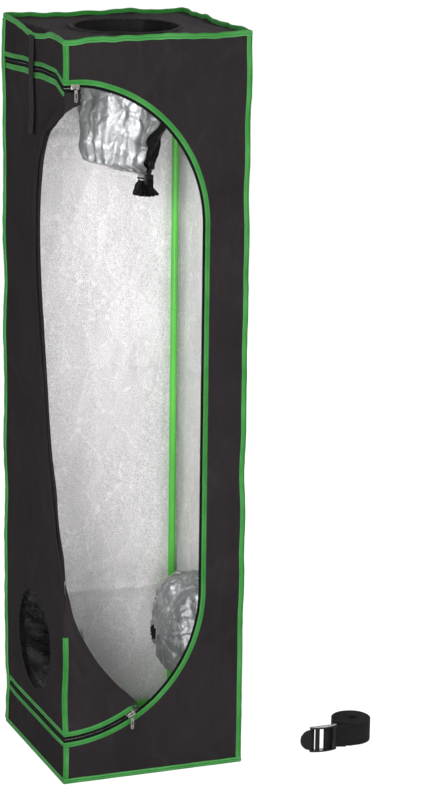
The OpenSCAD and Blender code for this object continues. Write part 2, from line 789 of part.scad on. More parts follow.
module right_sleeve() {
    l = right_sleeve_l;
    rings = [
        [0, mouth_r, 0, 0, 0, 0],
        [20, mouth_r, 0, 0, 0, 0],
        [l * 0.3, port_r * 0.97, 4, 2, 0, 0],
        [l * 0.48, port_r * 0.86, 7, 6, 3, 40],
        [l * 0.64, port_r * 0.66, 8, 11, 5, 90],
        [l * 0.76, port_r * 0.42, 6, 14, 4, 120],
        [l * 0.86, port_r * 0.2, 2.4, 15, 2, 140],
        [l * 0.92, neck_r, 1, 15, 0, 140],
        [l, neck_r + 8, 3, 15, 0, 160]
    ];
    color(C_SILVER) translate([in_x, 0, side_port_z]) rotate([0, -90, 0]) mirror([1, 0, 0]) sleeve(rings, 9);
}

// The gathered collar that stands on the roof round the port.
module roof_collar() {
    color(C_CLOTH) translate([0, 0, roof_z + cloth_t]) rotate_extrude($fn = 120) {
        intersection() {
            translate([port_r + 8, 0]) circle(r = 7, $fn = 32);
            translate([port_r, 0]) square([20, 10]);
        }
    }
}

// The drawcord round the neck of the roof sleeve, with its cord lock.
cord_d = 3;
neck_z = roof_z - roof_neck * 1.015;
neck_x = sleeve_drift;
cord_ring = neck_r + 1 + 0.2 + cord_d / 2;

module roof_drawcord() {
    color(C_BLACK) translate([neck_x, 0, neck_z]) {
        rotate_extrude($fn = 60) translate([cord_ring, 0]) circle(d = cord_d, $fn = 16);
        for (sx = [-1, 1]) translate([sx * 3, -cord_ring, 0]) {
            rotate([90, 0, 0]) cylinder(d = cord_d, h = 26, $fn = 20);
            translate([0, -26, 0]) sphere(d = cord_d, $fn = 20);
            translate([0, -26, -30]) cylinder(d = cord_d, h = 30, $fn = 20);
        }
    }
}

lock_y = -cord_ring - 8;
lock_d = 14;
module cord_lock_barrel() {
    color(C_BLACK) translate([neck_x, lock_y, neck_z]) difference() {
        translate([-8, -14, -9]) cube([16, 13, 20]);
        for (sx = [-1, 1]) {
            translate([sx * 3, 1, 0]) rotate([90, 0, 0]) cylinder(d = cord_d + 0.4, h = 30, $fn = 24);
        }
        translate([0, -7.5, 3.2]) cylinder(d = 9.6, h = 20, $fn = 32);
    }
}

module cord_lock_button() {
    color(C_BLACK) translate([neck_x, lock_y - 7.5, neck_z + 7]) {
        cylinder(d = 9, h = 9, $fn = 32);
        translate([0, 0, 9]) cylinder(d = 12, h = 3, $fn = 32);
    }
}

// Straps
tie_t = 1.5;
tie_x = -hw - binding_t - seat - tie_t;
tie_top = tent_h - roof_sag - 4;

module tie_strap() {
    color(C_BLACK) translate([tie_x, -tie_w / 2, tie_top - tie_l]) {
        cube([tie_t, tie_w, tie_l]);
        translate([-tie_t, 0, 0]) cube([tie_t + slack, tie_w, 22]);
    }
}

// The rolled webbing beside the tent: one ribbon from the core of the roll to its end behind the buckle.
roll_x = 488;
roll_y = -150;
web_pitch = web_t + 1.2;
core_r = 9;
coil_r = core_r + web_pitch * web_turns;
web_steps = 24 * web_turns;
buckle_rim = 3.5;
buckle_x = -118;
buckle_l = 62;
buckle_h = web_w + 2 * buckle_rim;
loop_x = buckle_x + 38;
loop_y = -5.6;
loop_r = 3.5;
function coil_pt(i) = let (a = 15 * i, r = core_r + web_pitch * i / 24) [-r * sin(a), -r * cos(a)];
coil_pts = [for (i = [0 : web_steps]) coil_pt(web_steps - i)];
// The coil ends at its front, running towards -X. The webbing goes on that way behind the buckle, round its
// loop bar and back, where its end is sewn down.
loop_pts = [for (a = [-60 : -30 : -270])
    [loop_x + (loop_r + 1.3) * cos(a), loop_y + (loop_r + 1.3) * sin(a)]];
tail_pts = [for (p = concat(
    [[-30, -2.3], [-63, -2.3], [-67.5, -2.7], [-70.5, -4.6], [-74.5, -8.5]],
    loop_pts,
    [[-74, -0.2], [-66, 0], [-20, 0]]
)) [p[0], p[1] - coil_r]];
web_path = concat(tail_pts, coil_pts);
web_n = len(web_path) - 1;
function web_side(i, s) =
    let (v = web_path[min(web_n, i + 1)] - web_path[max(0, i - 1)], u = v / norm(v))
    web_path[i] + s * web_t / 2 * [-u[1], u[0]];

// The lower edge of the tail is drawn in where it rides over the lower rail of the buckle.
module strap_roll() {
    lift = buckle_rim + seat;
    color(C_BLACK) translate([roll_x, roll_y, 0]) difference() {
        linear_extrude(height = web_w) {
            polygon(concat(
                [for (i = [0 : web_n]) web_side(i, 1)],
                [for (i = [web_n : -1 : 0]) web_side(i, -1)]
            ));
        }
        translate([0, -coil_r + 3, 0]) rotate([90, 0, 0]) linear_extrude(height = 17) {
            polygon([[-92, -1], [-44, -1], [-52, lift], [-92, lift]]);
        }
    }
}

// The buckle stands on the floor: two deep rails with a curved front, joined by a middle bar, an end bar
// and a round loop bar, with a rounded thumb tab at the free end.
module strap_buckle() {
    front_r = 74;
    color(C_BLACK) translate([roll_x, roll_y - coil_r, 0]) {
        for (z = [0, buckle_h - buckle_rim]) {
            translate([0, 0, z]) linear_extrude(height = buckle_rim) intersection() {
                translate([buckle_x + buckle_l / 2, front_r - 15]) circle(r = front_r, $fn = 120);
                translate([buckle_x, -16]) square([buckle_l, 14.4]);
            }
        }
        translate([buckle_x + 10.7, -12.8, 0]) cube([9.2, 4, buckle_h]);
        translate([buckle_x + buckle_l - 9, -8.2, 0]) cube([9, 4, buckle_h]);
        translate([loop_x, loop_y, 0]) cylinder(r = loop_r, h = buckle_h);
        translate([buckle_x, -4.5, buckle_h / 2]) rotate([90, 0, 0]) linear_extrude(height = 3.7) {
            intersection() {
                circle(r = 23, $fn = 72);
                translate([-24, -24]) square([26.4, 48]);
            }
        }
        translate([buckle_x, -8.2, 0]) cube([2.4, 3.7, buckle_h]);
    }
}

post_front_right_lower();
post_back_left_lower();
post_back_right_lower();
post_front_right_upper();
post_back_left_upper();
post_back_right_upper();
rail_base_front();
rail_base_back();
rail_base_left();
rail_base_right();
rail_top_front();
rail_top_back();
rail_top_left();
rail_top_right();
block_base_front_left();
block_base_front_right();
block_base_back_left();
block_base_back_right();
block_top_front_left();
block_top_front_right();
block_top_back_left();
block_top_back_right();
hanging_bar_front();
hanging_bar_back();
front_panel();
back_wall();
right_wall();
left_wall();
floor_panel();
roof_panel();
door_flap();
door_roll();
binding_front_left();
binding_front_right();
binding_back_left();
binding_back_right();
flap_corner_binding();
roof_binding();
floor_binding();
zip_band_frame();
zip_band_flap();
zip_half_frame();
zip_half_flap();
slider_lower();
slider_upper();
pull_lower();
pull_upper();
roof_sleeve();
left_sleeve();
right_sleeve();
roof_collar();
roof_drawcord();
cord_lock_barrel();
cord_lock_button();
tie_strap();
strap_roll();
strap_buckle();
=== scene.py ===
# %% [markdown]
# A grow tent, dressed for its picture. The tent is a tall square tower of dark cloth on a frame of green
# tubes. Its door wraps round the front left corner and is open, so the silver lining and the sleeves inside
# show. The frame file holds every hard part at its real place. This lesson adds the soft parts, the seams and
# the finishes over it.

import math

import bpy
from mathutils import Matrix, Vector, noise


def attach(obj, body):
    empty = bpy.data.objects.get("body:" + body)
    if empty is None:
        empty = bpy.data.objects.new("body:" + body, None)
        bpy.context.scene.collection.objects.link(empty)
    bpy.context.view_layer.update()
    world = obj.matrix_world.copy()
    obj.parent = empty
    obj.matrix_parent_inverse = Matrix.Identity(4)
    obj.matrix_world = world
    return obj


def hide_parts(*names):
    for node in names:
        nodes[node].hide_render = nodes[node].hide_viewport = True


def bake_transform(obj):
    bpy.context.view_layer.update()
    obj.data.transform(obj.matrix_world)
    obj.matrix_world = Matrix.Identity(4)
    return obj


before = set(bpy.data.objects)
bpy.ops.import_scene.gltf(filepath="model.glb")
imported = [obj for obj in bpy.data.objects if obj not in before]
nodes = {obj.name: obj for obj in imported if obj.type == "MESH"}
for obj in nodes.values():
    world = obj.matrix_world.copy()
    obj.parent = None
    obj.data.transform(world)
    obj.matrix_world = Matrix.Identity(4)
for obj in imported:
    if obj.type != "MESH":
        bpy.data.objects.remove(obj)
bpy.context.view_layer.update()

# %% [markdown]
# Every size below is a size of the tent itself, as built in the frame file. They are written in millimetres
# and turned into metres once.

# %% Sizes
MM = 0.001
HALF = 202.5 * MM  # half the width and depth over the cloth
SIDE = 2 * HALF
TOP = 1600 * MM
CLOTH = 1 * MM
ZIP_R = 303 * MM
ZIP_TOP = 1500 * MM
ZIP_LOW = 100 * MM
CLOTH_BACK = 8 * MM  # from the teeth to the edge of the cloth
ARC_TOP = ZIP_TOP - ZIP_R
ARC_LOW = ZIP_LOW + ZIP_R
PORT_R = 110 * MM
PORT_Z = 262 * MM
ROOF_Z = 1590 * MM
ROOF_SAG = 16 * MM
EDGE_BAND = 12 * MM  # cloth this near a seam lies under its tape
SEAM_BACK = 196 * MM  # the hinge seam of the door, at the back of the left wall
CELL = 6 * MM  # a cloth grid cell
SMOOTH_CLOTH = 60  # cloth is shaded smooth over bends of fewer degrees

# The line where the opened door turns inwards: run from the front left corner, minus along the left wall and
# plus along the front, and height.
FOLD_LINE = [
    (35, 1459), (20, 1455), (4, 1450), (-30, 1430), (-75, 1408), (-119, 1384), (-144, 1350),
    (-161, 1314), (-178, 1249), (-183, 1195), (-183, 1130), (-176, 1060), (-157, 960), (-139, 870),
    (-122, 780), (-105, 705), (-77, 640), (-44, 550), (-14, 492), (0, 455), (9, 418),
    (20, 372), (42, 322), (76, 264), (118, 212), (146, 186),
]

SAG_HALF = 169.5 * MM  # the roof edge is straight from here to the corner block


def sag(y):
    """How far the left roof edge has dropped at a place along it."""
    t = min(1.0, abs(y) / SAG_HALF)
    return ROOF_SAG * (0.6 * math.cos(math.pi / 2 * t) ** 2 + 0.4 * (1 - t) ** 2)


def ease(distance, reach):
    """0 at a seam, rising smoothly to 1 at reach."""
    t = min(max(distance / reach, 0.0), 1.0)
    return t * t * (3 - 2 * t)


def drawn(p):
    """Where the sewn cover really sits. The seams at its corners and round its roof sway a little. At the
    top of the left wall the zip is drawn up by the strap and runs down to the corner, and that corner droops,
    because no upright stands under it."""
    p = Vector(p)
    from_upright = math.hypot(HALF - abs(p.x), HALF - abs(p.y))
    loose = 3.6 * MM * math.exp(-((from_upright / 0.04) ** 2))
    which = 3 * (p.x > 0) + 7 * (p.y > 0)
    p.x += loose * noise.noise(Vector((p.z * 8.3, which, 0)))
    p.y += loose * noise.noise(Vector((p.z * 8.3, which, 5)))
    if p.x < 0 < p.y:
        p.x += 3.5 * MM * math.exp(-((from_upright / 0.05) ** 2) - ((p.z - 0.1) / 0.035) ** 2)
    from_edge = HALF - max(abs(p.x), abs(p.y))
    sway = noise.noise(Vector((p.x * 13, p.y * 13, 2))) + 0.5 * noise.noise(Vector((p.x * 31, p.y * 31, 4)))
    p.z += 6 * MM * sway * math.exp(-(((TOP - p.z) / 0.03) ** 2) - (max(0, from_edge) / 0.021) ** 2)
    if p.x < -HALF + 4 * MM:
        raised = 15 * MM * ease(p.y + HALF, 0.06) - 5 * MM * math.exp(-((p.y / 0.035) ** 2))
        raised *= 1 - 0.7 * ease(p.y, 0.19)
        p.z += raised * math.exp(-(((p.z - 1.5) / 0.045) ** 2))
    from_corner = math.hypot(p.x + HALF, p.y + HALF)
    p.z -= 4 * MM * math.exp(-((from_corner / 0.036) ** 2)) * ease(p.z - 1.46, 0.05)
    return p


def settle_cloth(obj):
    for v in obj.data.vertices:
        v.co = drawn(v.co)


print("the cover is", round(SIDE / MM), "mm square and", round(TOP / MM), "mm high")

# %% [markdown]
# Modelling goes through Blender's own operators. They act on what is selected, so these helpers select one
# thing, run one operator and leave nothing else touched.

# %% Modelling helpers
def only(obj, *others):
    """Selects one object as the active one, and any others with it."""
    bpy.ops.object.select_all(action="DESELECT")
    for one in (obj, *others):
        one.select_set(True)
    bpy.context.view_layer.objects.active = obj
    return obj


def new_object(name, data):
    obj = bpy.data.objects.new(name, data)
    bpy.context.scene.collection.objects.link(obj)
    return obj


def added(primitive, name=None, **settings):
    """Adds a primitive with one of Blender's operators and returns it."""
    bpy.ops.object.select_all(action="DESELECT")
    primitive(**settings)
    obj = bpy.context.active_object
    if name:
        obj.name = obj.data.name = name
    return obj


def joined(first, *others):
    """Joins objects into the first."""
    only(first, *others)
    if others:
        bpy.ops.object.join()
    return first


def finish_modifier(obj, kind, **settings):
    """Adds a modifier and applies it."""
    m = obj.modifiers.new(kind.lower(), kind)
    for key, value in settings.items():
        setattr(m, key, value)
    only(obj)
    bpy.ops.object.modifier_apply(modifier=m.name)
    return obj


def settle(obj):
    only(obj)
    bpy.ops.object.transform_apply(location=True, rotation=True, scale=True)
    return obj


def leave():
    bpy.ops.object.mode_set(mode="OBJECT")


def cut_away(obj, test):
    """Deletes the faces for whose centre test is true."""
    only(obj)
    bpy.ops.object.mode_set(mode="EDIT")
    bpy.ops.mesh.select_mode(type="FACE")
    bpy.ops.mesh.select_all(action="DESELECT")
    leave()
    for face in obj.data.polygons:
        face.select = bool(test(face.center))
    bpy.ops.object.mode_set(mode="EDIT")
    bpy.ops.mesh.delete(type="FACE")
    leave()


def edited(obj, *steps):
    """Runs mesh operators, each given with its settings, on the whole of a mesh."""
    only(obj)
    bpy.ops.object.mode_set(mode="EDIT")
    bpy.ops.mesh.select_all(action="SELECT")
    for operator, settings in steps:
        operator(**settings)
    leave()
    return obj


def tidy_mesh(obj, distance=1e-5):
    weld = (bpy.ops.mesh.remove_doubles, {"threshold": distance})
    return edited(obj, weld, (bpy.ops.mesh.normals_make_consistent, {"inside": False}))


def flipped(obj):
    return edited(obj, (bpy.ops.mesh.flip_normals, {}))


def rounded(obj, angle=35):
    only(obj)
    bpy.ops.object.shade_smooth_by_angle(angle=math.radians(angle))
    return obj


def copy_of(node, name):
    """A copy of a frame node's mesh with its loose triangles joined, ready to be shaped."""
    obj = new_object(name, nodes[node].data.copy())
    obj.data.materials.clear()
    flat = (bpy.ops.mesh.dissolve_limited, {"angle_limit": math.radians(1)})
    return edited(obj, (bpy.ops.mesh.remove_doubles, {"threshold": 2e-6}), flat)


def slice_every(obj, axis, step, low, high):
    """Cuts a mesh across an axis at even steps, so that a long straight piece can bend."""
    only(obj)
    bpy.ops.object.mode_set(mode="EDIT")
    place = low + step
    while place < high - step / 3:
        bpy.ops.mesh.select_all(action="SELECT")
        point, normal = [0, 0, 0], [0, 0, 0]
        point[axis], normal[axis] = place, 1
        bpy.ops.mesh.bisect(plane_co=point, plane_no=normal)
        place += step
    leave()
    return obj


def wave(p, scale, seed):
    """A smooth number from -1 to 1 that changes slowly over a distance of 1 / scale."""
    return noise.noise(Vector((p[0] * scale + seed, p[1] * scale, p[2] * scale)))


def finish_piece(obj, body, finish, slot, *replaced):
    """Gives a piece its finish, its body and the frame nodes that it stands for. A piece that crosses the
    door's hinge seam, given as tent to door, is put on no body: its place is baked into its mesh."""
    if finish is not None:
        obj.data.materials.clear()
        obj.data.materials.append(finish)
    if body == "tent to door":
        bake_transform(obj)
    else:
        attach(obj, body)
    if replaced:
        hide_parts(*replaced)
    return obj


# %% [markdown]
# The camera stands a little left of the front and above the roof, far away with a long lens, so that the
# upright edges stay nearly parallel.

# %% Camera
camera = new_object("camera", bpy.data.cameras.new("camera"))
bpy.context.scene.camera = camera
camera.data.lens = 135.7
camera.data.sensor_width = 36
camera.data.clip_start, camera.data.clip_end = 0.1, 60
CAMERA_TURN, CAMERA_TILT, CAMERA_ROLL = -21.564, -14.352, 0.8
camera.matrix_world = (
    Matrix.Translation((-2.1214, -5.9438, 2.4001))
    @ Matrix.Rotation(math.radians(CAMERA_TURN), 4, "Z")
    @ Matrix.Rotation(math.radians(90 + CAMERA_TILT), 4, "X")
    @ Matrix.Rotation(math.radians(CAMERA_ROLL), 4, "Z")
)
print("camera:", camera.data.lens, "mm lens, turned", CAMERA_TURN, "degrees")

# %% [markdown]
# Finishes are made of shader nodes. The class below lets the maths of a pattern be written as an ordinary
# Python expression, such as 1 - mask * 0.4.

# %% Shader helpers
class Value:
    """One socket of a material, with + - * / and powers that add Math nodes."""

    def __init__(self, finish, socket):
        self.finish, self.socket = finish, socket

    def _math(self, operation, a, b):
        return self.finish.node("ShaderNodeMath", {"operation": operation}, {0: a, 1: b})

    def __add__(self, other):
        return self._math("ADD", self, other)

    __radd__ = __add__

    def __mul__(self, other):
        return self._math("MULTIPLY", self, other)

    __rmul__ = __mul__

    def __sub__(self, other):
        return self._math("SUBTRACT", self, other)

    def __rsub__(self, other):
        return self._math("SUBTRACT", other, self)

    def __truediv__(self, other):
        return self._math("DIVIDE", self, other)

    def __pow__(self, other):
        return self._math("POWER", self, other)

    def sine(self):
        return self._math("SINE", self, 0)

    def over(self, edge):
        return self._math("GREATER_THAN", self, edge)

    def size(self):
        return self._math("ABSOLUTE", self, 0)

    def part(self):
        return self._math("FRACT", self, 0)

    def clamp(self):
        return self.finish.node("ShaderNodeClamp", {}, {"Value": self})


class Finish:
    """A material with one Principled shader."""

    def __init__(self, name, roughness=0.5, metallic=0.0, **constants):
        self.material = bpy.data.materials.new(name)
        self.material.use_nodes = True
        self.tree = self.material.node_tree
        self.shader = next(n for n in self.tree.nodes if n.type == "BSDF_PRINCIPLED")
        self.shader.inputs["Roughness"].default_value = roughness
        self.shader.inputs["Metallic"].default_value = metallic
        for key, value in constants.items():
            self.shader.inputs[key.replace("_", " ")].default_value = value

    def put(self, socket, value):
        if isinstance(value, Value):
            self.tree.links.new(value.socket, socket)
        else:
            socket.default_value = value

    def node(self, kind, settings=None, inputs=None, out=0):
        n = self.tree.nodes.new(kind)
        for key, value in (settings or {}).items():
            setattr(n, key, value)
        for key, value in (inputs or {}).items():
            self.put(n.inputs[key], value)
        return Value(self, n.outputs[out])

    def place(self, stretch=(1, 1, 1), turn=(0, 0, 0)):
        """Object coordinates in metres, stretched or turned."""
        where = self.node("ShaderNodeTexCoord", out=3)
        return self.node("ShaderNodeMapping", {}, {"Vector": where, "Scale": stretch, "Rotation": turn})

    def axes(self, place=None):
        parts = self.node("ShaderNodeSeparateXYZ", {}, {0: place or self.place()}).socket.node
        return [Value(self, parts.outputs[i]) for i in range(3)]

    def noise(self, scale, detail=3, place=None, rough=0.5):
        settings = {"Vector": place or self.place(), "Scale": scale, "Detail": detail, "Roughness": rough}
        return self.node("ShaderNodeTexNoise", {}, settings)

    def blend(self, mask, a, b):
        return self.node("ShaderNodeMix", {"data_type": "RGBA"}, {0: mask, 6: a, 7: b}, out=2)

    def colour(self, value):
        self.put(self.shader.inputs["Base Color"], value)

    def relief(self, height, distance=0.0005, strength=1.0):
        """Raises the surface by height times distance, in metres."""
        bump = self.node("ShaderNodeBump", {}, {"Height": height, "Distance": distance, "Strength": strength})
        self.put(self.shader.inputs["Normal"], bump)

    def roughness(self, value):
        self.put(self.shader.inputs["Roughness"], value)


def shade(r, g, b):
    """A colour as it reads on screen, 0 to 255, as linear light."""
    return tuple(((c / 255 + 0.055) / 1.055) ** 2.4 if c > 10 else c / 255 / 12.92 for c in (r, g, b)) + (1,)


# %% [markdown]
# The cover is a polyester oxford cloth with a matt coating. Close up it is a plain weave about half a
# millimetre apart. From further off it shows soft lighter patches and streaks where it is rubbed and creased,
# partly wear and partly a painted sheen on the raised creases.

# %% Black cloth
def make_black_cloth(name, dark, light, rough, shine):
    f = Finish(name, roughness=rough, Specular_IOR_Level=shine)
    x, y, z = f.axes()
    run = x + y
    warp = (run * (math.tau / 0.0011)).sine()
    weft = (z * (math.tau / 0.0011)).sine()
    weave = warp * weft
    patches = f.noise(5, 4)
    rub_and_sheen = f.noise(60, 3, f.place((1, 1, 0.35)))
    crumple = f.noise(22, 4, f.place((1, 1, 0.5)))
    crease_line_and_sheen = (1 - (f.noise(6, 3, f.place((1, 1, 0.7))) - 0.5).size() * 34).clamp()
    # The rub streaks and crease lines lighten the colour where the same noise raises the bump: partly wear,
    # partly a painted sheen.
    mask = (patches * 0.85 + rub_and_sheen * 0.35 - 0.17 + weave * 0.06 + crease_line_and_sheen * (crumple - 0.25) * 0.55).clamp()
    f.colour(f.blend(mask, shade(*dark), shade(*light)))
    f.relief(weave * 0.16 + crumple * 9 + rub_and_sheen * 0.8 + crease_line_and_sheen * 1.2, 0.0006)
    f.roughness(rough - 0.1 + patches * 0.2)
    return f.material


black_cloth = make_black_cloth("black_cloth", (30, 27, 29), (50, 46, 48), 0.8, 0.01)
black_sleeve = make_black_cloth("black_sleeve", (10, 9, 10), (26, 25, 26), 0.3, 0.1)
print("black cloth:", len(black_cloth.node_tree.nodes), "shader nodes")

# %% [markdown]
# The sleeve in the left port is cut from a thinner cloth than the walls. It lies in slack folds. Its colour
# is painted light on the folds, as painted highlights, and dark between them and next to its seam, as painted
# shade.

# %% Slack cloth
def make_slack_cloth():
    """The thin cloth of the left sleeve. Its colour is painted light on its folds, as painted highlights, and
    nearly black between them and at its seam, as painted shade.
    """
    f = Finish("slack_black_cloth", roughness=0.4, Specular_IOR_Level=0.05)
    folds = f.noise(15, 3, f.place((1, 0.45, 2.1), (0.25, 0, 0)))
    creases = f.noise(30, 2, f.place((1, 0.5, 1.7), (-0.5, 0, 0)))
    line = (1 - (creases - 0.5).size() * 20).clamp()
    _, y, z = f.axes()
    from_middle = (y * y + (z - PORT_Z) * (z - PORT_Z)) ** 0.5
    # Painted light and shade: the fold and crease terms paint highlights on the folds, and seam_shadow paints
    # the colour dark from here to the port's edge.
    seam_shadow = ((from_middle - 0.099) * 160).clamp()  # dark from there to the port's edge
    mask = ((folds - 0.5) * 3.4 + 0.26 + line * 0.5).clamp() * (1 - seam_shadow)
    f.colour(f.blend(mask, shade(8, 7, 8), shade(47, 45, 47)))
    f.relief(folds * 8 + line * 1.5, 0.0012)
    f.roughness(0.5 - folds * 0.2)
    return f.material


slack_cloth = make_slack_cloth()
print("slack cloth:", len(slack_cloth.node_tree.nodes), "shader nodes")

# %% [markdown]
# The inside is faced with a silver film, embossed with tiny bumps that scatter light on to the plants. The
# glints of the bumps are painted into its colour as a fine speckle, and its folds and creases are painted
# lighter, as painted highlights. The sleeves are cut from a shinier, smoother film than the walls, and their
# colour is painted darker, as painted shade.

# %% Silver lining
def make_silver_lining(name, dark, light, folded, painted_glints, metal, crumpled):
    f = Finish(name, roughness=0.42, metallic=metal, Specular_IOR_Level=0.4)
    folds = f.noise(7, 3, f.place((1, 1, 0.6)), 0.5)
    crease = {"feature": "DISTANCE_TO_EDGE"}
    tall, tilted = f.place((1, 1, 0.7)), f.place(turn=(0.5, 0.4, 0.3))
    facets = f.node("ShaderNodeTexVoronoi", crease, {"Vector": tall, "Scale": 17, "Randomness": 1})
    small = f.node("ShaderNodeTexVoronoi", crease, {"Vector": tilted, "Scale": 52, "Randomness": 1})
    speck = f.noise(430, 2, rough=0.7)
    pearls = f.node("ShaderNodeTexVoronoi", {"feature": "F1"}, {"Vector": f.place(), "Scale": 420})
    edge = (1 - facets * 16).clamp()
    # Painted light: the colour is lighter on the raised folds and along the crease lines, as painted
    # highlights, and the fine speckle is painted glints of the embossed bumps.
    mask = (speck - 0.5) * painted_glints + 0.6 + (folds - 0.5) * folded
    mask = (mask + edge * (small - 0.02) * crumpled * 0.35).clamp()
    f.colour(f.blend(mask, shade(*dark), shade(*light)))
    creased = facets * crumpled + small * (crumpled * 0.3) + folds * (7 * folded)
    f.relief(creased + pearls * 0.5 + speck * 0.3, 0.0012)
    f.roughness(0.3 + speck * 0.2)
    return f.material


silver_lining = make_silver_lining("silver_lining", (184, 181, 183), (249, 246, 248), 0.9, 2.4, 0.2, 3)
# The sleeves' copy of the silver is painted darker, as painted shade, because they hang in the shade inside
# the tent.
shaded_silver_sleeve = make_silver_lining("shaded_silver_sleeve", (66, 68, 71), (206, 208, 210), 1.5, 0.9, 0.75, 9)
print("silver film:", len(silver_lining.node_tree.nodes), "shader nodes")

# %% [markdown]
# The seams are covered with a bright green woven tape. It is a twill, so fine slanting ribs run over it, and
# a row of stitches follows the middle of the tape. Its outer edges are painted nearly black, as painted
# shadow where it meets the cloth.

# %% Green binding
def make_green_binding():
    """The tape's UV map holds the distance along it in metres, and across it from 0 to 1."""
    f = Finish("green_binding", roughness=0.6, Specular_IOR_Level=0.06)
    along, across, _ = f.axes(f.node("ShaderNodeTexCoord", out=2))
    from_middle = (across * 2 - 1).size()
    rib = ((along + across * 0.016) * (math.tau / 0.0031)).sine()
    worn = f.noise(18, 4)
    thread = f.noise(900, 1)
    mask = (rib * 0.16 + 0.12 + from_middle * 0.55 + (worn - 0.5) * 0.9 + (thread - 0.5) * 0.35).clamp()
    tape = f.blend(mask, shade(32, 108, 38), shade(90, 160, 92))
    stitch_row = 1 - ((from_middle - 0.72).size()).over(0.045)
    stitch = stitch_row * (along * (1 / 0.0034)).part().over(0.26)
    sewn = f.blend(stitch * 0.7, tape, shade(26, 84, 36))
    # Painted shadow: the outermost edges of the tape are painted nearly black, where it meets the cloth.
    edge_shadow = from_middle.over(0.94)
    f.colour(f.blend(edge_shadow * 0.85, sewn, shade(16, 44, 22)))
    f.relief(rib * 0.6 + worn * 2.5 + stitch * 0.9, 0.0004)
    f.roughness(0.5 + worn * 0.2)
    return f.material


green_binding = make_green_binding()
print("green tape:", len(green_binding.node_tree.nodes), "shader nodes")

# %% [markdown]
# The tubes are steel with a green powder coat, a smooth plastic skin with a slight orange peel.

# %% Green powder coat
def make_green_coat():
    f = Finish("green_powder_coat", roughness=0.3, Coat_Weight=0.15, Coat_Roughness=0.25)
    peel = f.noise(700, 2)
    tone = f.noise(9, 2)
    f.colour(f.blend(tone, shade(64, 164, 48), shade(92, 198, 68)))
    f.relief(peel, 0.00012)
    f.roughness(0.26 + tone * 0.12)
    return f.material


green_coat = make_green_coat()
print("powder coat:", len(green_coat.node_tree.nodes), "shader nodes")

# %% [markdown]
# Moulded plastic parts have a fine spark-eroded texture. Metal parts are plated and lightly scratched.

# %% Plastics and metals
def make_black_plastic(name, low, high, roughness, shine):
    f = Finish(name, roughness=roughness, Specular_IOR_Level=shine)
    grain = f.noise(1100, 2)
    smear = f.noise(45, 3)
    f.colour(f.blend(smear, shade(low, low, low + 1), shade(high, high, high + 2)))
    f.relief(grain, 0.00012)
    f.roughness(roughness - 0.08 + smear * 0.16)
    return f.material


def make_nickel():
    f = Finish("nickel_plate", roughness=0.28, metallic=1.0)
    scratch = f.noise(240, 4, f.place((1, 1, 0.08)))
    spots = f.noise(70, 3)
    f.colour(f.blend(spots, shade(118, 116, 112), shade(164, 161, 155)))
    f.relief(scratch, 0.00006)
    f.roughness(0.18 + scratch * 0.22)
    return f.material


black_plastic = make_black_plastic("black_plastic", 12, 24, 0.42, 0.16)
buckle_plastic = make_black_plastic("buckle_plastic", 14, 28, 0.34, 0.16)
zip_teeth = make_black_plastic("zip_teeth", 12, 20, 0.4, 0.05)
nickel = make_nickel()
print("plastics and metal:", [m.name for m in (black_plastic, buckle_plastic, zip_teeth, nickel)])

# %% [markdown]
# Tape, webbing and cord are all woven, but at different scales: the zip tape is a fine flat weave, the strap
# has bold ribs across it, and the cord is braided.

# %% Woven blacks
def make_zip_tape():
    f = Finish("zip_tape", roughness=0.85, Specular_IOR_Level=0.01)
    x, y, z = f.axes()
    ribs = ((x + y) * (math.tau / 0.0009)).sine() * (z * (math.tau / 0.0009)).sine()
    f.colour(f.blend((ribs * 0.2 + 0.4).clamp(), shade(16, 16, 17), shade(34, 33, 35)))
    f.relief(ribs, 0.0002)
    return f.material


def make_webbing():
    """Webbing has ribs across its width. Its UV map holds the place across it and along it, in metres."""
    f = Finish("black_webbing", roughness=0.65, Specular_IOR_Level=0.05)
    across, along, _ = f.axes(f.node("ShaderNodeTexCoord", out=2))
    wobble = f.noise(300, 2)
    ribs = ((along + wobble * 0.0003) * (math.tau / 0.0024)).sine()
    knots = (across * (math.tau / 0.0019)).sine()
    mask = ((ribs + 1) * (knots + 1.3) * 0.2 + (wobble - 0.5) * 0.3).clamp()
    f.colour(f.blend(mask, shade(11, 11, 12), shade(74, 74, 76)))
    f.relief((ribs + 1) * (knots + 1.6), 0.0004)
    return f.material


def make_cord():
    f = Finish("black_cord", roughness=0.8, Specular_IOR_Level=0.05)
    x, y, z = f.axes()
    braid = ((x + z) * (math.tau / 0.0014)).sine() * ((x - z) * (math.tau / 0.0014)).sine()
    f.colour(f.blend((braid * 0.3 + 0.4).clamp(), shade(10, 10, 11), shade(32, 32, 34)))
    f.relief(braid, 0.0004)
    return f.material


zip_tape = make_zip_tape()
webbing = make_webbing()
cord_weave = make_cord()
print("woven blacks:", [m.name for m in (zip_tape, webbing, cord_weave)])

# %% [markdown]
# A cloth panel is a grid of small cells. Vertices near the edge of a hole are moved on to that edge before
# the cells inside it are deleted, so the edge stays smooth. Then the cloth is given its slack: it is pushed
# in and out by a slow wave, less and less towards the seams that hold it. Last, it gets its thickness, with
# the lining on the inner side.

# %% Cloth panel helpers
def new_grid(name, across, up, width, height):
    obj = added(bpy.ops.mesh.primitive_grid_add, name, x_subdivisions=across, y_subdivisions=up, size=1)
    obj.scale = (width, height, 1)
    return settle(obj)


def stand(obj, turn, at):
    """Stands a flat grid up with its outer side towards -Y, turns it about +Z and moves it."""
    obj.rotation_euler = (math.pi / 2, 0, math.radians(turn))
    obj.location = at
    return settle(obj)


def snap_edge(obj, distance, cell):
    """Moves vertices near the line where distance(p) is 0 on to it. distance gives a value and a way."""
    for v in obj.data.vertices:
        d, way = distance(v.co)
        if abs(d) < cell * 0.55:
            v.co -= way * d


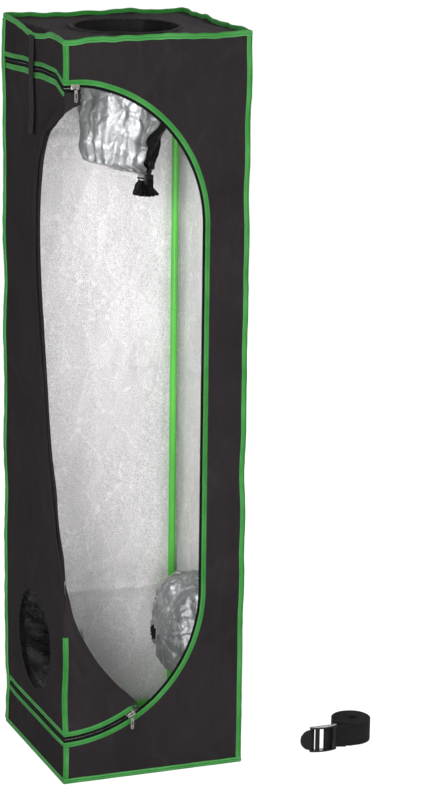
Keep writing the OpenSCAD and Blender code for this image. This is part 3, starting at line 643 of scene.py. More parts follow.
def door_edge(offset):
    """Distance outside the door's outline on the front, grown by offset, and its direction."""
    radius = ZIP_R + offset

    def distance(p):
        z = min(max(p.z, ARC_LOW), ARC_TOP)
        away = Vector((p.x + HALF, 0, p.z - z))
        length = max(away.length, 1e-9)
        return length - radius, away / length

    return distance


def port_edge(centre, normal_axis):
    def distance(p):
        away = p - centre
        away[normal_axis] = 0
        length = max(away.length, 1e-9)
        return length - PORT_R, away / length

    return distance


def slacken(obj, push, hold, seed, amount=(3.2, 1.1, 0.35)):
    """Pushes cloth along push by slow, middling and fine waves, times how free hold(p) says it is there."""
    big, middle, fine = (a * MM for a in amount)
    for v in obj.data.vertices:
        p = v.co.copy()
        free = hold(p)
        if free > 0:
            tall = Vector((p.x, p.y, p.z * 0.45))
            drop = big * wave(tall, 5, seed) + middle * wave(tall, 15, seed + 7)
            drop += fine * wave(p, 55, seed + 13)
            v.co += push * (drop * free)
    obj.data.update()


def thicken(obj, outer=None, inner=None, thickness=CLOTH, turned=None):
    """Gives cloth its thickness towards the inside, with one finish on the outer side and one on the inner.
    Where turned(face centre) is true, the inner finish shows outside too."""
    obj.data.materials.clear()
    obj.data.materials.append(outer or black_cloth)
    obj.data.materials.append(inner or silver_lining)
    if turned:
        for face in obj.data.polygons:
            face.material_index = int(turned(face.center))
    settings = {"thickness": thickness, "offset": -1, "material_offset": 1, "use_even_offset": False}
    return finish_modifier(obj, "SOLIDIFY", **settings)


# %% [markdown]
# The front has the D-shaped door outline cut from it. It is stretched between the corner seams, so it hangs
# nearly flat, with a couple of shallow creases where the cover was folded in its box.

# %% Front, right and back panels
cells = 1


PACKING_FOLDS = (0.29, 0.81, 1.32)  # heights of the creases where the cover was folded in its box
FOLD_DEPTH, FOLD_WIDTH = 2.6 * MM, 9 * MM


def crease_panel(obj, push, hold):
    """Presses the packing folds into a wall, along push and wherever hold(p) leaves the cloth free."""
    for v in obj.data.vertices:
        p = v.co.copy()
        off = [(p.z - z - 0.012 * wave(p, 6, 3)) / FOLD_WIDTH for z in PACKING_FOLDS]
        v.co -= push * (sum(FOLD_DEPTH * math.exp(-(d**2)) for d in off) * hold(p))


def hang_wall(obj, push, hold, seed, waves, node):
    """Gives a wall its slack, its packing folds and its thickness, and puts it in the place of its node."""
    slacken(obj, Vector(push), hold, seed, waves)
    crease_panel(obj, Vector(push), hold)
    settle_cloth(obj)
    tidy_mesh(obj)
    thicken(obj)
    rounded(obj, SMOOTH_CLOTH)
    return finish_piece(obj, "tent", None, "black_cloth", node)


front_height = TOP - 3 * MM
middle = front_height / 2 + MM
across, up = round(SIDE / CELL / cells), round(front_height / CELL / cells)
front = stand(new_grid("front_cloth", across, up, SIDE, front_height), 0, (0, -HALF, middle))
front_door = door_edge(CLOTH_BACK)
snap_edge(front, front_door, CELL * cells)
cut_away(front, lambda p: front_door(p)[0] < 0)


def front_free(p):
    side = min(HALF - abs(p.x), p.z - EDGE_BAND, TOP - EDGE_BAND - p.z)
    return ease(side, 0.05) * ease(front_door(p)[0] - EDGE_BAND, 0.04)


hang_wall(front, (0, -1, 0), front_free, 1.5, (4.6, 2.2, 0.6), "front_panel")

right = stand(new_grid("right_cloth", across, up, SIDE - 2 * MM, front_height), 90, (HALF, 0, middle))
right_port = port_edge(Vector((HALF, 0, PORT_Z)), 0)
snap_edge(right, right_port, CELL * cells)
cut_away(right, lambda p: right_port(p)[0] < 0)


def wall_free(p):
    side = min(HALF - abs(p.y), p.z - EDGE_BAND, TOP - EDGE_BAND - p.z)
    return ease(side, 0.06) * ease(right_port(p)[0] - 0.004, 0.05)


hang_wall(right, (1, 0, 0), wall_free, 4.5, (3.4, 1.4, 0.4), "right_wall")

back = stand(new_grid("back_cloth", across, up, SIDE, front_height), 180, (0, HALF, middle))


def back_free(p):
    return ease(min(HALF - abs(p.x), p.z - EDGE_BAND, TOP - EDGE_BAND - p.z), 0.06)


hang_wall(back, (0, 1, 0), back_free, 8.5, (3.6, 1.5, 0.45), "back_wall")
print("panels:", len(front.data.polygons), len(right.data.polygons), len(back.data.polygons))

# %% [markdown]
# The left wall is nearly all door. What stays fixed is a band over the zip, a band under it and a narrow
# strip at the back seam. The upper band hangs from the sagging roof edge, so its grid is stretched to follow
# that edge, and it is drawn into folds where the tie strap pulls on it.

# %% Fixed cloth round the door on the left wall
def left_band(name, low, high, rows):
    obj = new_grid(name, round(SIDE / CELL / cells), rows, SIDE - 2 * MM, 1)
    obj.rotation_euler = (math.pi / 2, 0, math.radians(-90))
    obj.location = (-HALF, 0, 0.5)
    settle(obj)
    for v in obj.data.vertices:
        v.co.z = low + (high(v.co.y) - low) * v.co.z
    return obj


def pull_folds(p):
    """Folds that run out from the point where the tie strap pulls on the roof edge."""
    y, drop = p.y, 1.585 - p.z
    reach = math.hypot(y, drop)
    if reach < 1e-6:
        return 0
    turn = math.atan2(y, drop)
    return 2.6 * MM * math.sin(turn * 7 + 0.6) * math.exp(-((reach - 0.05) / 0.055) ** 2)


def roof_edge(y):
    """Height of the top of the left wall, which follows the sagging edge of the roof."""
    return TOP - 3 * MM - sag(y)


top_band = left_band("left_cloth", ZIP_TOP + CLOTH_BACK, roof_edge, 22)
for v in top_band.data.vertices:
    free = ease(min(HALF - abs(v.co.y), roof_edge(v.co.y) - v.co.z, v.co.z - ZIP_TOP - CLOTH_BACK), 0.03)
    v.co.x -= free * (pull_folds(v.co) + 1.2 * MM * wave(v.co, 18, 2))
low_band = left_band("left_cloth_low", MM, lambda y: ZIP_LOW - CLOTH_BACK, 16)
for v in low_band.data.vertices:
    free = ease(min(HALF - abs(v.co.y), v.co.z - EDGE_BAND, ZIP_LOW - CLOTH_BACK - v.co.z), 0.03)
    v.co.x -= free * (1.6 * MM * wave(v.co, 14, 5) + 0.9 * MM * wave(v.co, 40, 6))
strip = new_grid("left_cloth_strip", 2, 200, 5 * MM, ZIP_TOP - ZIP_LOW + 2 * CLOTH_BACK)
stand(strip, -90, (-HALF, SEAM_BACK + 3 * MM, (ZIP_TOP + ZIP_LOW) / 2))
left = joined(top_band, low_band, strip)
settle_cloth(left)
thicken(left)
rounded(left, SMOOTH_CLOTH)
finish_piece(left, "tent", None, "black_cloth", "left_wall")

# %% [markdown]
# The roof is one square of cloth with the port in its middle. The gathered collar pulls small puckers into it
# all round, and between the collar and the edges it sags a little. The left margin drops to the sagging seam.

# %% Roof cloth
POST = 183.5 * MM  # from the middle of the tent to the centre line of its posts and rails
roof = new_grid("roof_cloth", 68 // cells, 68 // cells, SIDE - 2 * MM, SIDE - 2 * MM)
roof.location = (0, 0, ROOF_Z + CLOTH)
settle(roof)
roof_port = port_edge(Vector((0, 0, ROOF_Z + CLOTH)), 2)
snap_edge(roof, roof_port, CELL * cells)
cut_away(roof, lambda p: roof_port(p)[0] < 0)
for v in roof.data.vertices:
    x, y = v.co.x, v.co.y
    outside = roof_port(v.co)[0]
    turn = math.atan2(y, x)
    edge = POST - 0.012 - max(abs(x), abs(y))
    pucker = 1.5 * MM * (0.5 + 0.5 * math.sin(turn * 21 + 3 * wave(v.co, 8, 1))) * math.exp(-outside / 0.03)
    gather = max(0, math.sin(turn * 11 + 4 * wave(v.co, 6, 8))) ** 3
    pucker += 2.2 * MM * gather * ease(outside, 0.03) * math.exp(-outside / 0.06)
    slack = -1.5 * MM * ease(edge, 0.03) * ease(outside, 0.03)
    ripple = 1.3 * MM * max(0, wave(v.co, 16, 4)) + 0.5 * MM * max(0, wave(v.co, 45, 9))
    v.co.z += pucker + slack + ripple * ease(HALF - MM - max(abs(x), abs(y)), 0.03) * ease(outside, 0.02)
    if x < -POST:
        v.co.z -= sag(y) * (-POST - x) / (HALF - MM - POST)
settle_cloth(roof)
thicken(roof)
rounded(roof, SMOOTH_CLOTH)
finish_piece(roof, "tent", None, "black_cloth", "roof_panel")

# %% [markdown]
# Round the port the roof is hemmed over an elastic, so a low soft ridge of small uneven gathers stands there.
# It starts as a torus, which is pinched at uneven steps and flattened where it is sewn to the roof.

# %% Gathered collar on the roof
COLLAR_R = 118 * MM
torus = {"major_segments": 396, "minor_segments": 14, "major_radius": COLLAR_R, "minor_radius": 6.5 * MM}
collar = added(bpy.ops.mesh.primitive_torus_add, "roof_collar_cloth", **torus)
for v in collar.data.vertices:
    turn = math.atan2(v.co.y, v.co.x)
    centre = Vector((math.cos(turn), math.sin(turn), 0)) * COLLAR_R
    away = v.co - centre
    uneven = turn * 37 + 2.2 * math.sin(turn * 3 + 1) + 1.6 * math.sin(turn * 8)
    gather = math.cos(uneven) * (0.1 + 0.1 * wave(v.co, 14, 6)) + 0.16 * wave(v.co, 50, 3)
    away *= 1 + gather + 0.12 * math.sin(turn * 3)
    v.co = centre + away
    low = 0.36 + 0.3 * wave(centre, 12, 9)
    v.co.z = max(v.co.z, 0) * low + ROOF_Z + CLOTH + 0.2 * MM
tidy_mesh(collar, 2e-5)
rounded(collar, SMOOTH_CLOTH)
finish_piece(collar, "tent", black_cloth, "black_cloth", "roof_collar")
print("collar:", len(collar.data.polygons), "faces")

# %% [markdown]
# The floor is the same lined cloth, silver side up. It lies on the ground, so only its upper side may crease.

# %% Floor cloth
GROUND = 385 * MM
ground = new_grid("floor_cloth", 60 // cells, 60 // cells, GROUND, GROUND)
ground.location = (0, 0, CLOTH)
settle(ground)
for v in ground.data.vertices:
    free = ease(GROUND / 2 - max(abs(v.co.x), abs(v.co.y)), 0.02)
    v.co.z += free * (2.2 * MM * max(0, wave(v.co, 14, 2)) + 0.9 * MM * max(0, wave(v.co, 40, 8)))
thicken(ground, silver_lining, black_cloth)
for v in ground.data.vertices:
    v.co.z = max(v.co.z, 0)
rounded(ground, SMOOTH_CLOTH)
finish_piece(ground, "tent", None, "silver_lining", "floor_panel")
print("floor cloth:", len(ground.data.polygons), "faces")

# %% [markdown]
# The door is the largest cloth. Here it is opened: its free side is turned inwards along a long curved line
# and rolled. What still lies in the wall is nearly all of the left side, and round the corner two pieces of
# the front, a small one at the top and a larger one at the foot. One grid makes all of it. Each row runs from
# the hinge seam to the fold, and the columns are shared out so that one of them always falls on the corner of
# the tent.

# %% Door flap
DOOR_BACK = -(HALF + SEAM_BACK)  # run of the hinge seam, measured from the front left corner
DOOR_LOW, DOOR_TOP = ZIP_LOW + CLOTH_BACK, ZIP_TOP - CLOTH_BACK
EDGE = [(36, 1500)] + FOLD_LINE + [(168, 164), (182, 140), (190, 100)]


def fold_run(z):
    """Run of the fold line at a height."""
    z = z / MM
    for (h1, z1), (h2, z2) in zip(EDGE, EDGE[1:]):
        if z2 <= z <= z1:
            return (h1 + (h2 - h1) * (z1 - z) / (z1 - z2)) * MM
    return (EDGE[0][0] if z > EDGE[0][1] else EDGE[-1][0]) * MM


def smooth_fold_run(z):
    steps = range(-3, 4)
    return sum(fold_run(z + k * 5 * MM) for k in steps) / len(steps)


def door_end(z):
    """Run at which the door leaves the wall: the fold line, or its own curved edge on the front."""
    from_arc = max(0, z - ARC_TOP, ARC_LOW - z)
    radius = ZIP_R - CLOTH_BACK
    return min(smooth_fold_run(z), math.sqrt(max(0, radius**2 - from_arc**2)))


def fold_distance(h, z):
    """How far a point of the door is from the fold line."""
    best = 1
    for (h1, z1), (h2, z2) in zip(EDGE, EDGE[1:]):
        dh, dz = (h2 - h1) * MM, (z2 - z1) * MM
        t = min(1, max(0, ((h - h1 * MM) * dh + (z - z1 * MM) * dz) / (dh * dh + dz * dz)))
        best = min(best, math.hypot(h - h1 * MM - t * dh, z - z1 * MM - t * dz))
    return best


def ridge(h, z, start, end, width, height):
    """A soft fold along a line from start to end, in run and height."""
    dh, dz = end[0] - start[0], end[1] - start[1]
    length = math.hypot(dh, dz)
    t = ((h / MM - start[0]) * dh + (z / MM - start[1]) * dz) / length**2
    off = ((h / MM - start[0]) * dz - (z / MM - start[1]) * dh) / length
    along = max(0, 1 - abs(2 * t - 1) ** 3) if 0 < t < 1 else 0
    return height * MM * along * math.exp(-((off / width) ** 2))


# Soft folds in the door: where each starts and ends, as run and height, then its width and its height.
RIDGES = [
    ((-112, 1496), (-182, 1230), 6, 3.6), ((-62, 1494), (-140, 1300), 7, 4.0),
    ((-24, 1492), (-96, 1390), 6, 3.4), ((-150, 1494), (-205, 1180), 8, 2.4),
    ((-30, 470), (150, 150), 14, 2.4), ((-60, 560), (60, 200), 16, 1.8),
]
DOOR_FOLDS = (0.46, 0.83, 1.18)  # heights of the creases where the door was folded in its box
SIDE_COLUMNS, FRONT_COLUMNS, ROWS = 66 // cells, 24 // cells, 231 // cells
columns = SIDE_COLUMNS + FRONT_COLUMNS
flap = new_grid("door_flap_cloth", columns, ROWS, 1, 1)
runs = []
for v in flap.data.vertices:
    column = round((v.co.x + 0.5) * columns)
    z = DOOR_LOW + (v.co.y + 0.5) * (DOOR_TOP - DOOR_LOW)
    end = door_end(z)
    if column <= SIDE_COLUMNS:
        h = DOOR_BACK + (min(0, end) - DOOR_BACK) * column / SIDE_COLUMNS
    else:
        h = min(0, end) + max(0, end) * (column - SIDE_COLUMNS) / FRONT_COLUMNS
    runs.append(h)
    v.co = (-HALF, -HALF - h, z) if h < 0 else (-HALF + h, -HALF, z)
left_port = port_edge(Vector((-HALF, 0, PORT_Z)), 0)
nowhere = (1, Vector((0, 0, 0)))
snap_edge(flap, lambda p: left_port(p) if p.x < -HALF + 1e-6 else nowhere, CELL * cells * 1.1)
for v, h in zip(flap.data.vertices, runs):
    p = v.co.copy()
    at_fold = fold_distance(h, p.z)
    seam = min(h - DOOR_BACK, p.z - DOOR_LOW, DOOR_TOP - p.z)
    free = ease(seam - 0.006, 0.05) * (ease(left_port(p)[0] - 0.003, 0.03) if h < 0 else 1)
    free *= 1 - 0.85 * math.exp(-((h / 0.014) ** 2))
    drop = 3.4 * MM * wave((h, p.z * 0.3, 0), 7, 3) + 1.2 * MM * wave((h, p.z * 0.5, 0), 20, 8)
    drop += 0.4 * MM * wave((h, p.z, 0), 60, 5)
    drop += 4.4 * MM * math.exp(-(((at_fold - 0.011) / 0.010) ** 2))
    drop -= 1.6 * MM * math.exp(-(((at_fold - 0.031) / 0.006) ** 2))
    drop += sum(ridge(h, p.z, *line) for line in RIDGES)
    drop += 2.4 * MM * math.exp(-(((left_port(p)[0] - 0.009) / 0.005) ** 2)) * (h < 0)
    drop -= sum(1.5 * MM * math.exp(-(((p.z - crease) / 0.008) ** 2)) for crease in DOOR_FOLDS)
    if h < -1e-6:
        v.co.x -= free * drop
    elif h > 1e-6:
        v.co.y -= free * drop
    elif 0.335 < p.z < DOOR_TOP:
        v.co += Vector((1.2, 1.2, 0)) * MM
near_wall = -HALF + 8 * MM
cut_away(flap, lambda p: p.x < near_wall < p.y and left_port(p)[0] < -0.2 * MM)
settle_cloth(flap)
tidy_mesh(flap, 2e-5)
# The outer side has to face out of the tent before the lining is put behind it.
if sum(p.normal.x * p.area for p in flap.data.polygons) > 0:
    flipped(flap)
thicken(flap)
rounded(flap, SMOOTH_CLOTH)
finish_piece(flap, "tent to door", None, "black_cloth", "door_flap")

# %% [markdown]
# The turned-in edge of the door is rolled up behind the fold. Seen from its end, the roll is a flattened
# spiral of about 1.6 turns. No primitive gives a spiral that follows a curve round a corner, so its
# points are worked out row by row: along the fold line, and round the spiral at each place.

# %% Rolled edge of the door
def rows_mesh(name, rows, closed=False, uvs=None, ring=False):
    """A mesh through rows of points. closed joins each row's last point to its first and caps the ends, or,
    where ring is true, welds the last row to the first."""
    count = len(rows[0])
    faces = []
    for k in range(len(rows) - 1):
        here, there = k * count, (k + 1) * count
        for i in range(count if closed else count - 1):
            j = (i + 1) % count
            faces.append((here + i, here + j, there + j, there + i))
    if closed and not ring:
        faces += [tuple(range(count)), tuple((len(rows) - 1) * count + i for i in reversed(range(count)))]
    mesh = bpy.data.meshes.new(name)
    mesh.from_pydata([p for row in rows for p in row], [], faces)
    if uvs:
        layer = mesh.uv_layers.new(name="along").data
        for poly in mesh.polygons:
            for corner, vert in zip(poly.loop_indices, poly.vertices):
                layer[corner].uv = uvs[vert]
    obj = new_object(name, mesh)
    return tidy_mesh(obj) if closed else obj


ROLL_BEND = 9.5 * MM  # radius of the bend that the roll makes at the corner
ROLL_TURNS, ROLL_STEPS = 1.6, 44


def turn_corner(h, z, depth):
    """Run, height and depth behind the cloth into a point, with the corner taken as a small bend."""
    quarter = ROLL_BEND * math.pi / 4
    inner = HALF - CLOTH
    if h < -quarter:
        return Vector((-inner + depth, -inner + ROLL_BEND - h - quarter, z))
    if h > quarter:
        return Vector((-inner + ROLL_BEND + h - quarter, -inner + depth, z))
    a = math.radians(45 * (h / quarter + 1))
    centre, radius = -inner + ROLL_BEND, ROLL_BEND - depth
    return Vector((centre - radius * math.cos(a), centre - radius * math.sin(a), z))


def between(value, low, high, at_low, at_high):
    """A number that changes smoothly from at_low to at_high while value goes from low to high."""
    t = ease(value - low, high - low)
    return at_low + (at_high - at_low) * t


def fold_path(count):
    """Even places along the fold line, smoothed."""
    points = [Vector((h * MM, z * MM)) for h, z in FOLD_LINE]
    lengths = [(b - a).length for a, b in zip(points, points[1:])]
    total, places = sum(lengths), []
    for k in range(count):
        left_over, i = total * k / (count - 1), 0
        while i < len(lengths) - 1 and left_over > lengths[i]:
            left_over -= lengths[i]
            i += 1
        places.append(points[i].lerp(points[i + 1], min(1, left_over / lengths[i])))
    for _ in range(4):
        smooth = [(a + 2 * b + c) / 4 for a, b, c in zip(places, places[1:], places[2:])]
        places = [places[0]] + smooth + [places[-1]]
    return places


path = fold_path(190)
rows = []
for k, place in enumerate(path):
    along = (path[min(k + 1, len(path) - 1)] - path[max(k - 1, 0)]).normalized()
    inward = Vector((-along.y, along.x))
    h = place.x
    width = between(h, -0.05, -0.015, 14, between(h, 0.02, 0.04, 6, 10)) * MM
    width *= 1 - 0.4 * ease(k - 0.88 * len(path), 0.12 * len(path))
    depth = between(h, -0.075, -0.05, 6.2, 4.1) * MM
    row = []
    for i in range(ROLL_STEPS + 1):
        turn = ROLL_TURNS * i / ROLL_STEPS
        shrink = 1 - 0.62 * turn / ROLL_TURNS
        a = math.radians(-90 + 360 * turn)
        crush = 1 + 0.1 * wave((k * 0.05, turn, 0), 2.2, 4) * min(1, turn * 3)
        side = width * (shrink * math.cos(a) * crush - 1) - 1.2 * MM
        back = depth * (1 + shrink * math.sin(a) * crush) + 0.4 * MM
        back -= 2.6 * MM * math.exp(-((h / 0.012) ** 2))
        row.append(turn_corner(h + inward.x * side, place.y + inward.y * side, back))
    rows.append(row)
roll = rows_mesh("door_roll_cloth", rows)
first_face = roll.data.polygons[0]
if first_face.normal.x + first_face.normal.y > 0:
    flipped(roll)
thicken(roll, thickness=0.9 * MM)
rounded(roll, SMOOTH_CLOTH)
finish_piece(roll, "door", None, "black_cloth", "door_roll")
roll_length = sum((b - a).length for a, b in zip(path, path[1:]))

# %% [markdown]
# The tubes have their true shape in the frame file, so they only need their finish. The corner blocks are
# moulded, and a moulded part has no knife edges: a copy of each gets small round edges with a bevel.

# %% Tubes, bars and corner blocks
def paint(node, finish):
    for place in nodes[node].material_slots:
        place.material = finish


def softened(node, name, width, body, finish, slot, segments=2):
    """A copy of a frame node with its sharp edges rounded."""
    obj = copy_of(node, name)
    edge = {"limit_method": "ANGLE", "angle_limit": math.radians(35), "segments": segments}
    finish_modifier(obj, "BEVEL", width=width, **edge)
    rounded(obj, 40)
    return finish_piece(obj, body, finish, slot, node)


for node in nodes:
    if node.startswith(("post_", "rail_", "hanging_bar_")):
        paint(node, green_coat)
    elif node.startswith("block_"):
        softened(node, node.replace("block", "corner"), 1.2 * MM, "tent", black_plastic, "black_plastic")
print("painted the tubes and rounded the corner blocks")

# %% [markdown]
# Every seam is closed with a folded tape, sewn on with two rows of stitches. Such a tape is never quite flat
# or straight: it is thick in the middle, thin at its edges, and it sways a little where it was fed by hand. A
# row of points is laid across the tape at each step along the seam, and a UV map records how far along and
# how far across each point lies, so that the weave and the stitches follow the seam round its bends.

# %% Sewn tape helper
ACROSS = [0, 0.04, 0.12, 0.24, 0.38, 0.5, 0.62, 0.76, 0.88, 0.96, 1]
TAPE_STEP = 9 * MM
TAPE_FRONT, TAPE_SIDE = 11.5 * MM, 7.5 * MM  # width of a corner tape on the front or back, and on the side


def sway_at(u, seed, fade=1):
    return noise.noise(Vector((u * 21, seed, 0))) * fade, noise.noise(Vector((u * 42, seed, 5))) * fade


def stations(start, end, step, stops=()):
    """Even places along a seam, with the given stops kept exactly, so that a tape turns sharply there."""
    count = max(2, round((end - start) / step))
    kept = [u for u in stops if start < u < end]
    even = [start + (end - start) * k / count for k in range(count + 1)]
    return sorted([u for u in even if all(abs(u - k) > 1.6 * MM for k in kept)] + kept)


def sewn_tape(name, place, start, end, low, high, rise=1.6 * MM, sway=0.6 * MM, stops=(), seed=0):
    """A tape from start to end along a seam. place(along, across, out) gives a point beside the seam."""
    rows, uvs = [], []
    for u in stations(start, end, TAPE_STEP * (1), stops):
        side, lift = sway_at(u, seed)
        row = []
        for t in ACROSS:
            out = 0.12 * MM + rise * (1 + 0.3 * lift) * (1 - abs(2 * t - 1) ** 4)
            row.append(place(u, low + (high - low) * t + side * sway, out))
            uvs.append((u, t))
        for t in (1, 0.5, 0):
            row.append(place(u, low + (high - low) * t + side * sway, 0.03 * MM))
            uvs.append((u, t))
        rows.append(row)
    obj = rows_mesh(name, rows, closed=True, uvs=uvs)
    return rounded(obj, 50)


# %% [markdown]
# The upright corner seams are the plainest: an L of tape, a wide side on the front or back and a narrow one
# on the side wall. The front left one is in two pieces, with the door between them, and the door carries a
# third piece.

# %% Corner tapes
BEND = 1.5 * MM  # radius over which a tape turns a corner


def corner_seam(sx, sy):
    """Places points round an upright corner. across is minus on the side wall, plus on the front or back."""
    def place(z, across, out):
        a = math.radians(45 * (max(-1, min(1, across / BEND)) + 1))
        x = sx * (HALF - max(0, across - BEND) + out * math.cos(a))
        y = sy * (HALF - max(0, -across - BEND) + out * math.sin(a))
        return drawn((x, y, z))

    return place


SEAM_LOW, SEAM_TOP = TAPE_FRONT, TOP - TAPE_FRONT
WHOLE_SEAM = [(SEAM_LOW, SEAM_TOP)]
PAST_ZIP = 17 * MM  # a corner tape stops this far from the middle of the zip
UNDER_AND_OVER_DOOR = [(SEAM_LOW, ZIP_LOW - PAST_ZIP), (ZIP_TOP + PAST_ZIP, SEAM_TOP)]
corner_tapes = [
    ("corner_tape_front_right", (1, -1), WHOLE_SEAM, "tent", "binding_front_right"),
    ("corner_tape_back_left", (-1, 1), WHOLE_SEAM, "tent to door", "binding_back_left"),
    ("corner_tape_back_right", (1, 1), WHOLE_SEAM, "tent", "binding_back_right"),
    ("corner_tape_front_left", (-1, -1), UNDER_AND_OVER_DOOR, "tent", "binding_front_left"),
    ("door_corner_tape", (-1, -1), [(ZIP_LOW + PAST_ZIP, 330 * MM)], "door", "flap_corner_binding"),
]
for seed, (name, sides, runs, body, node) in enumerate(corner_tapes):
    # The tape over the hinge is wider and stands further out, because the door's cloth bends under it.
    low, rise = (-13 * MM, 4 * MM) if sides == (-1, 1) else (-TAPE_SIDE, 2.2 * MM)
    seam = corner_seam(*sides)
    parts = [sewn_tape(name, seam, a, b, low, TAPE_FRONT, rise, seed=seed * 3) for a, b in runs]
    finish_piece(joined(*parts), body, green_binding, "green_binding", node)
print("corner tapes:", len(corner_tapes))

# %% [markdown]
# The roof seam stands up as a little wall round the roof, where the roof and the sides are sewn together and
# the tape is folded over both. The floor seam turns under the tent. Both run right round, so their rows
# follow the four sides of a square, and each row is scaled towards the corners so that the folds meet there
# in a mitre.

# %% Roof and floor tapes
# Along and outwards, on the front, the right, the back and the left.
WAYS = [((1, 0), (0, -1)), ((0, 1), (1, 0)), ((-1, 0), (0, 1)), ((0, -1), (-1, 0))]


def round_the_square(u, off, z):
    """A point at u along the edge of the tent, off outwards, at height z."""
    side = min(3, int(u / SIDE))
    c = (u - side * SIDE) / SIDE * 2 - 1
    (ax, ay), (nx, ny) = WAYS[side]
    reach = HALF + off
    p = Vector((ax * c + nx, ay * c + ny, 0)) * reach
    p.z = z - (sag(p.y) if side == 3 and z > 1 else 0)
    return p


# The two sections: how far out from the tent's edge, and how high over the roof edge or the floor.
ROOF_SEAM = [
    (0.05, -11.8), (1.1, -11.7), (2.0, -10), (2.3, -7), (2.1, -3.4), (1.4, -1), (0.1, 0), (-1.4, -0.1),
    (-2.5, -0.9), (-3, -3), (-3, -6), (-2.8, -9.4), (-1.1, -9.5), (-1.1, -2.6), (0.03, -2.6), (0.03, -9),
]
FLOOR_SEAM = [
    (0.05, 12), (1.1, 11.7), (2.0, 10), (2.4, 6.6), (2.3, 3.4), (1.5, 1), (0.5, 0.1), (-1, 0), (-9, 0),
    (-9.8, 0.4), (-9.4, 0.9), (0.03, 0.9), (0.03, 8),
]


def square_tape(name, section, base, seed):
    count = 4 * 45
    rows, uvs = [], []
    widths = [0]
    for a, b in zip(section, section[1:]):
        widths.append(widths[-1] + math.dist(a, b))
    for k in range(count + 1):
        u = 4 * SIDE * k / count * 0.999999
        corner = min((u / SIDE) % 1, 1 - (u / SIDE) % 1) * SIDE
        side, lift = sway_at(u, seed, ease(corner, 0.03))
        row = []
        for (off, z), w in zip(section, widths):
            puff = 1 + 0.22 * lift if off > 0.1 else 1
            p = drawn(round_the_square(u, off * puff * MM, base + (z + (0.5 * side if z else 0)) * MM))
            p.z = max(p.z, 0)
            row.append(p)
            uvs.append((u, w / widths[-1]))
        rows.append(row)
    return rounded(rows_mesh(name, rows, closed=True, uvs=uvs, ring=True), 50)


roof_seam = square_tape("roof_seam_tape", ROOF_SEAM, TOP, 31)
finish_piece(roof_seam, "tent", green_binding, "green_binding", "roof_binding")
floor_seam = square_tape("floor_seam_tape", FLOOR_SEAM, 0, 37)
finish_piece(floor_seam, "tent", green_binding, "green_binding", "floor_binding")
print("roof and floor tapes:", len(roof_seam.data.polygons) + len(floor_seam.data.polygons), "faces")

# %% [markdown]
# The zip is the longest line on the tent. It starts at the back of the left wall, runs forward to the corner,
# round the front in a D, and back along the foot of the left wall. One function gives any point along that
# line, a chosen distance across it and out from the cloth. The two green bands, the two black tapes and the
# teeth all use it.

# %% The line of the zip
ZIP_SIDE = HALF + 196.5 * MM
ZIP_BEND = math.pi / 2 * ZIP_R
ZIP_TALL = ARC_TOP - ARC_LOW
FRONT_START, ARC_END = ZIP_SIDE, ZIP_SIDE + ZIP_BEND
FRONT_END = ARC_END + ZIP_TALL + ZIP_BEND
ZIP_END = FRONT_END + ZIP_SIDE


def on_wall(h, z, out):
    """A point of the left wall or the front at run h from their corner, out from the cloth or behind it."""
    if out < 0:
        behind = -HALF - out
        return drawn((behind, max(-HALF - h, behind), z) if h < 0 else (max(-HALF + h, behind), behind, z))
    bend = 0.8 * MM
    a = math.radians(45 * (max(-1, min(1, h / bend)) + 1))
    x = -HALF + max(0, h - bend) - out * math.cos(a)
    y = -HALF + max(0, -h - bend) - out * math.sin(a)
    return drawn((x, y, z))


def zip_place(s, across, out):
    """A point at s along the zip, across it (plus is away from the door) and out from the cloth."""
    r = ZIP_R + across
    if s < FRONT_START:
        return on_wall(s - ZIP_SIDE, ZIP_TOP + across, out)
    if s < ARC_END:
        a = (s - FRONT_START) / ZIP_R
        return on_wall(r * math.sin(a), ARC_TOP + r * math.cos(a), out)
    if s < ARC_END + ZIP_TALL:
        return on_wall(r, ARC_TOP - (s - ARC_END), out)
    if s < FRONT_END:
        a = (s - ARC_END - ZIP_TALL) / ZIP_R
        return on_wall(r * math.cos(a), ARC_LOW - r * math.sin(a), out)
    return on_wall(FRONT_END - s, ZIP_LOW - across, out)


CORNER_STOPS = [corner + k * 0.4 * MM for corner in (FRONT_START, FRONT_END) for k in (-2, -1, 0, 1, 2)]
print("the zip is", round(ZIP_END, 3), "m long")

# %% [markdown]
# The fixed band follows the whole zip. The door's own band only shows where the door still lies in the walls:
# along the left wall at the top, and at the foot as far as the slider. From there it turns inwards with the
# roll.

# %% Green bands beside the zip
BAND_NEAR, BAND_FAR = 6.5 * MM, 17.5 * MM  # from the teeth to the two sides of a band
BAND_START = 9 * MM  # the door's band and teeth start this far from the ends of the zip
FLAP_LOW_START = FRONT_END - math.radians(34) * ZIP_R
band_look = {"rise": 1.1 * MM, "sway": 0.5 * MM, "stops": CORNER_STOPS}
band_frame = sewn_tape("zip_band_outer", zip_place, 0, ZIP_END, BAND_NEAR, BAND_FAR, seed=41, **band_look)
finish_piece(band_frame, "tent", green_binding, "green_binding", "zip_band_frame")
door_runs = [("zip_band_door", BAND_START, FRONT_START + MM, 43),
             ("zip_band_low", FLAP_LOW_START, ZIP_END - BAND_START, 47)]
bands = [sewn_tape(name, zip_place, start, end, -BAND_FAR, -BAND_NEAR, seed=seed, **band_look)
         for name, start, end, seed in door_runs]
band_door = finish_piece(joined(*bands), "door", green_binding, "green_binding", "zip_band_flap")
print("bands:", len(band_frame.data.polygons) + len(band_door.data.polygons), "faces")

# %% [markdown]
# The zip tapes lie behind the cloth and close the gap between its edges. The teeth are a moulded row on each
# tape. One tooth is modelled from a block with its edges bevelled, and then set down at every pitch along the
# line.

# %% Zip tapes and teeth
TOOTH_PITCH = 3.2 * MM


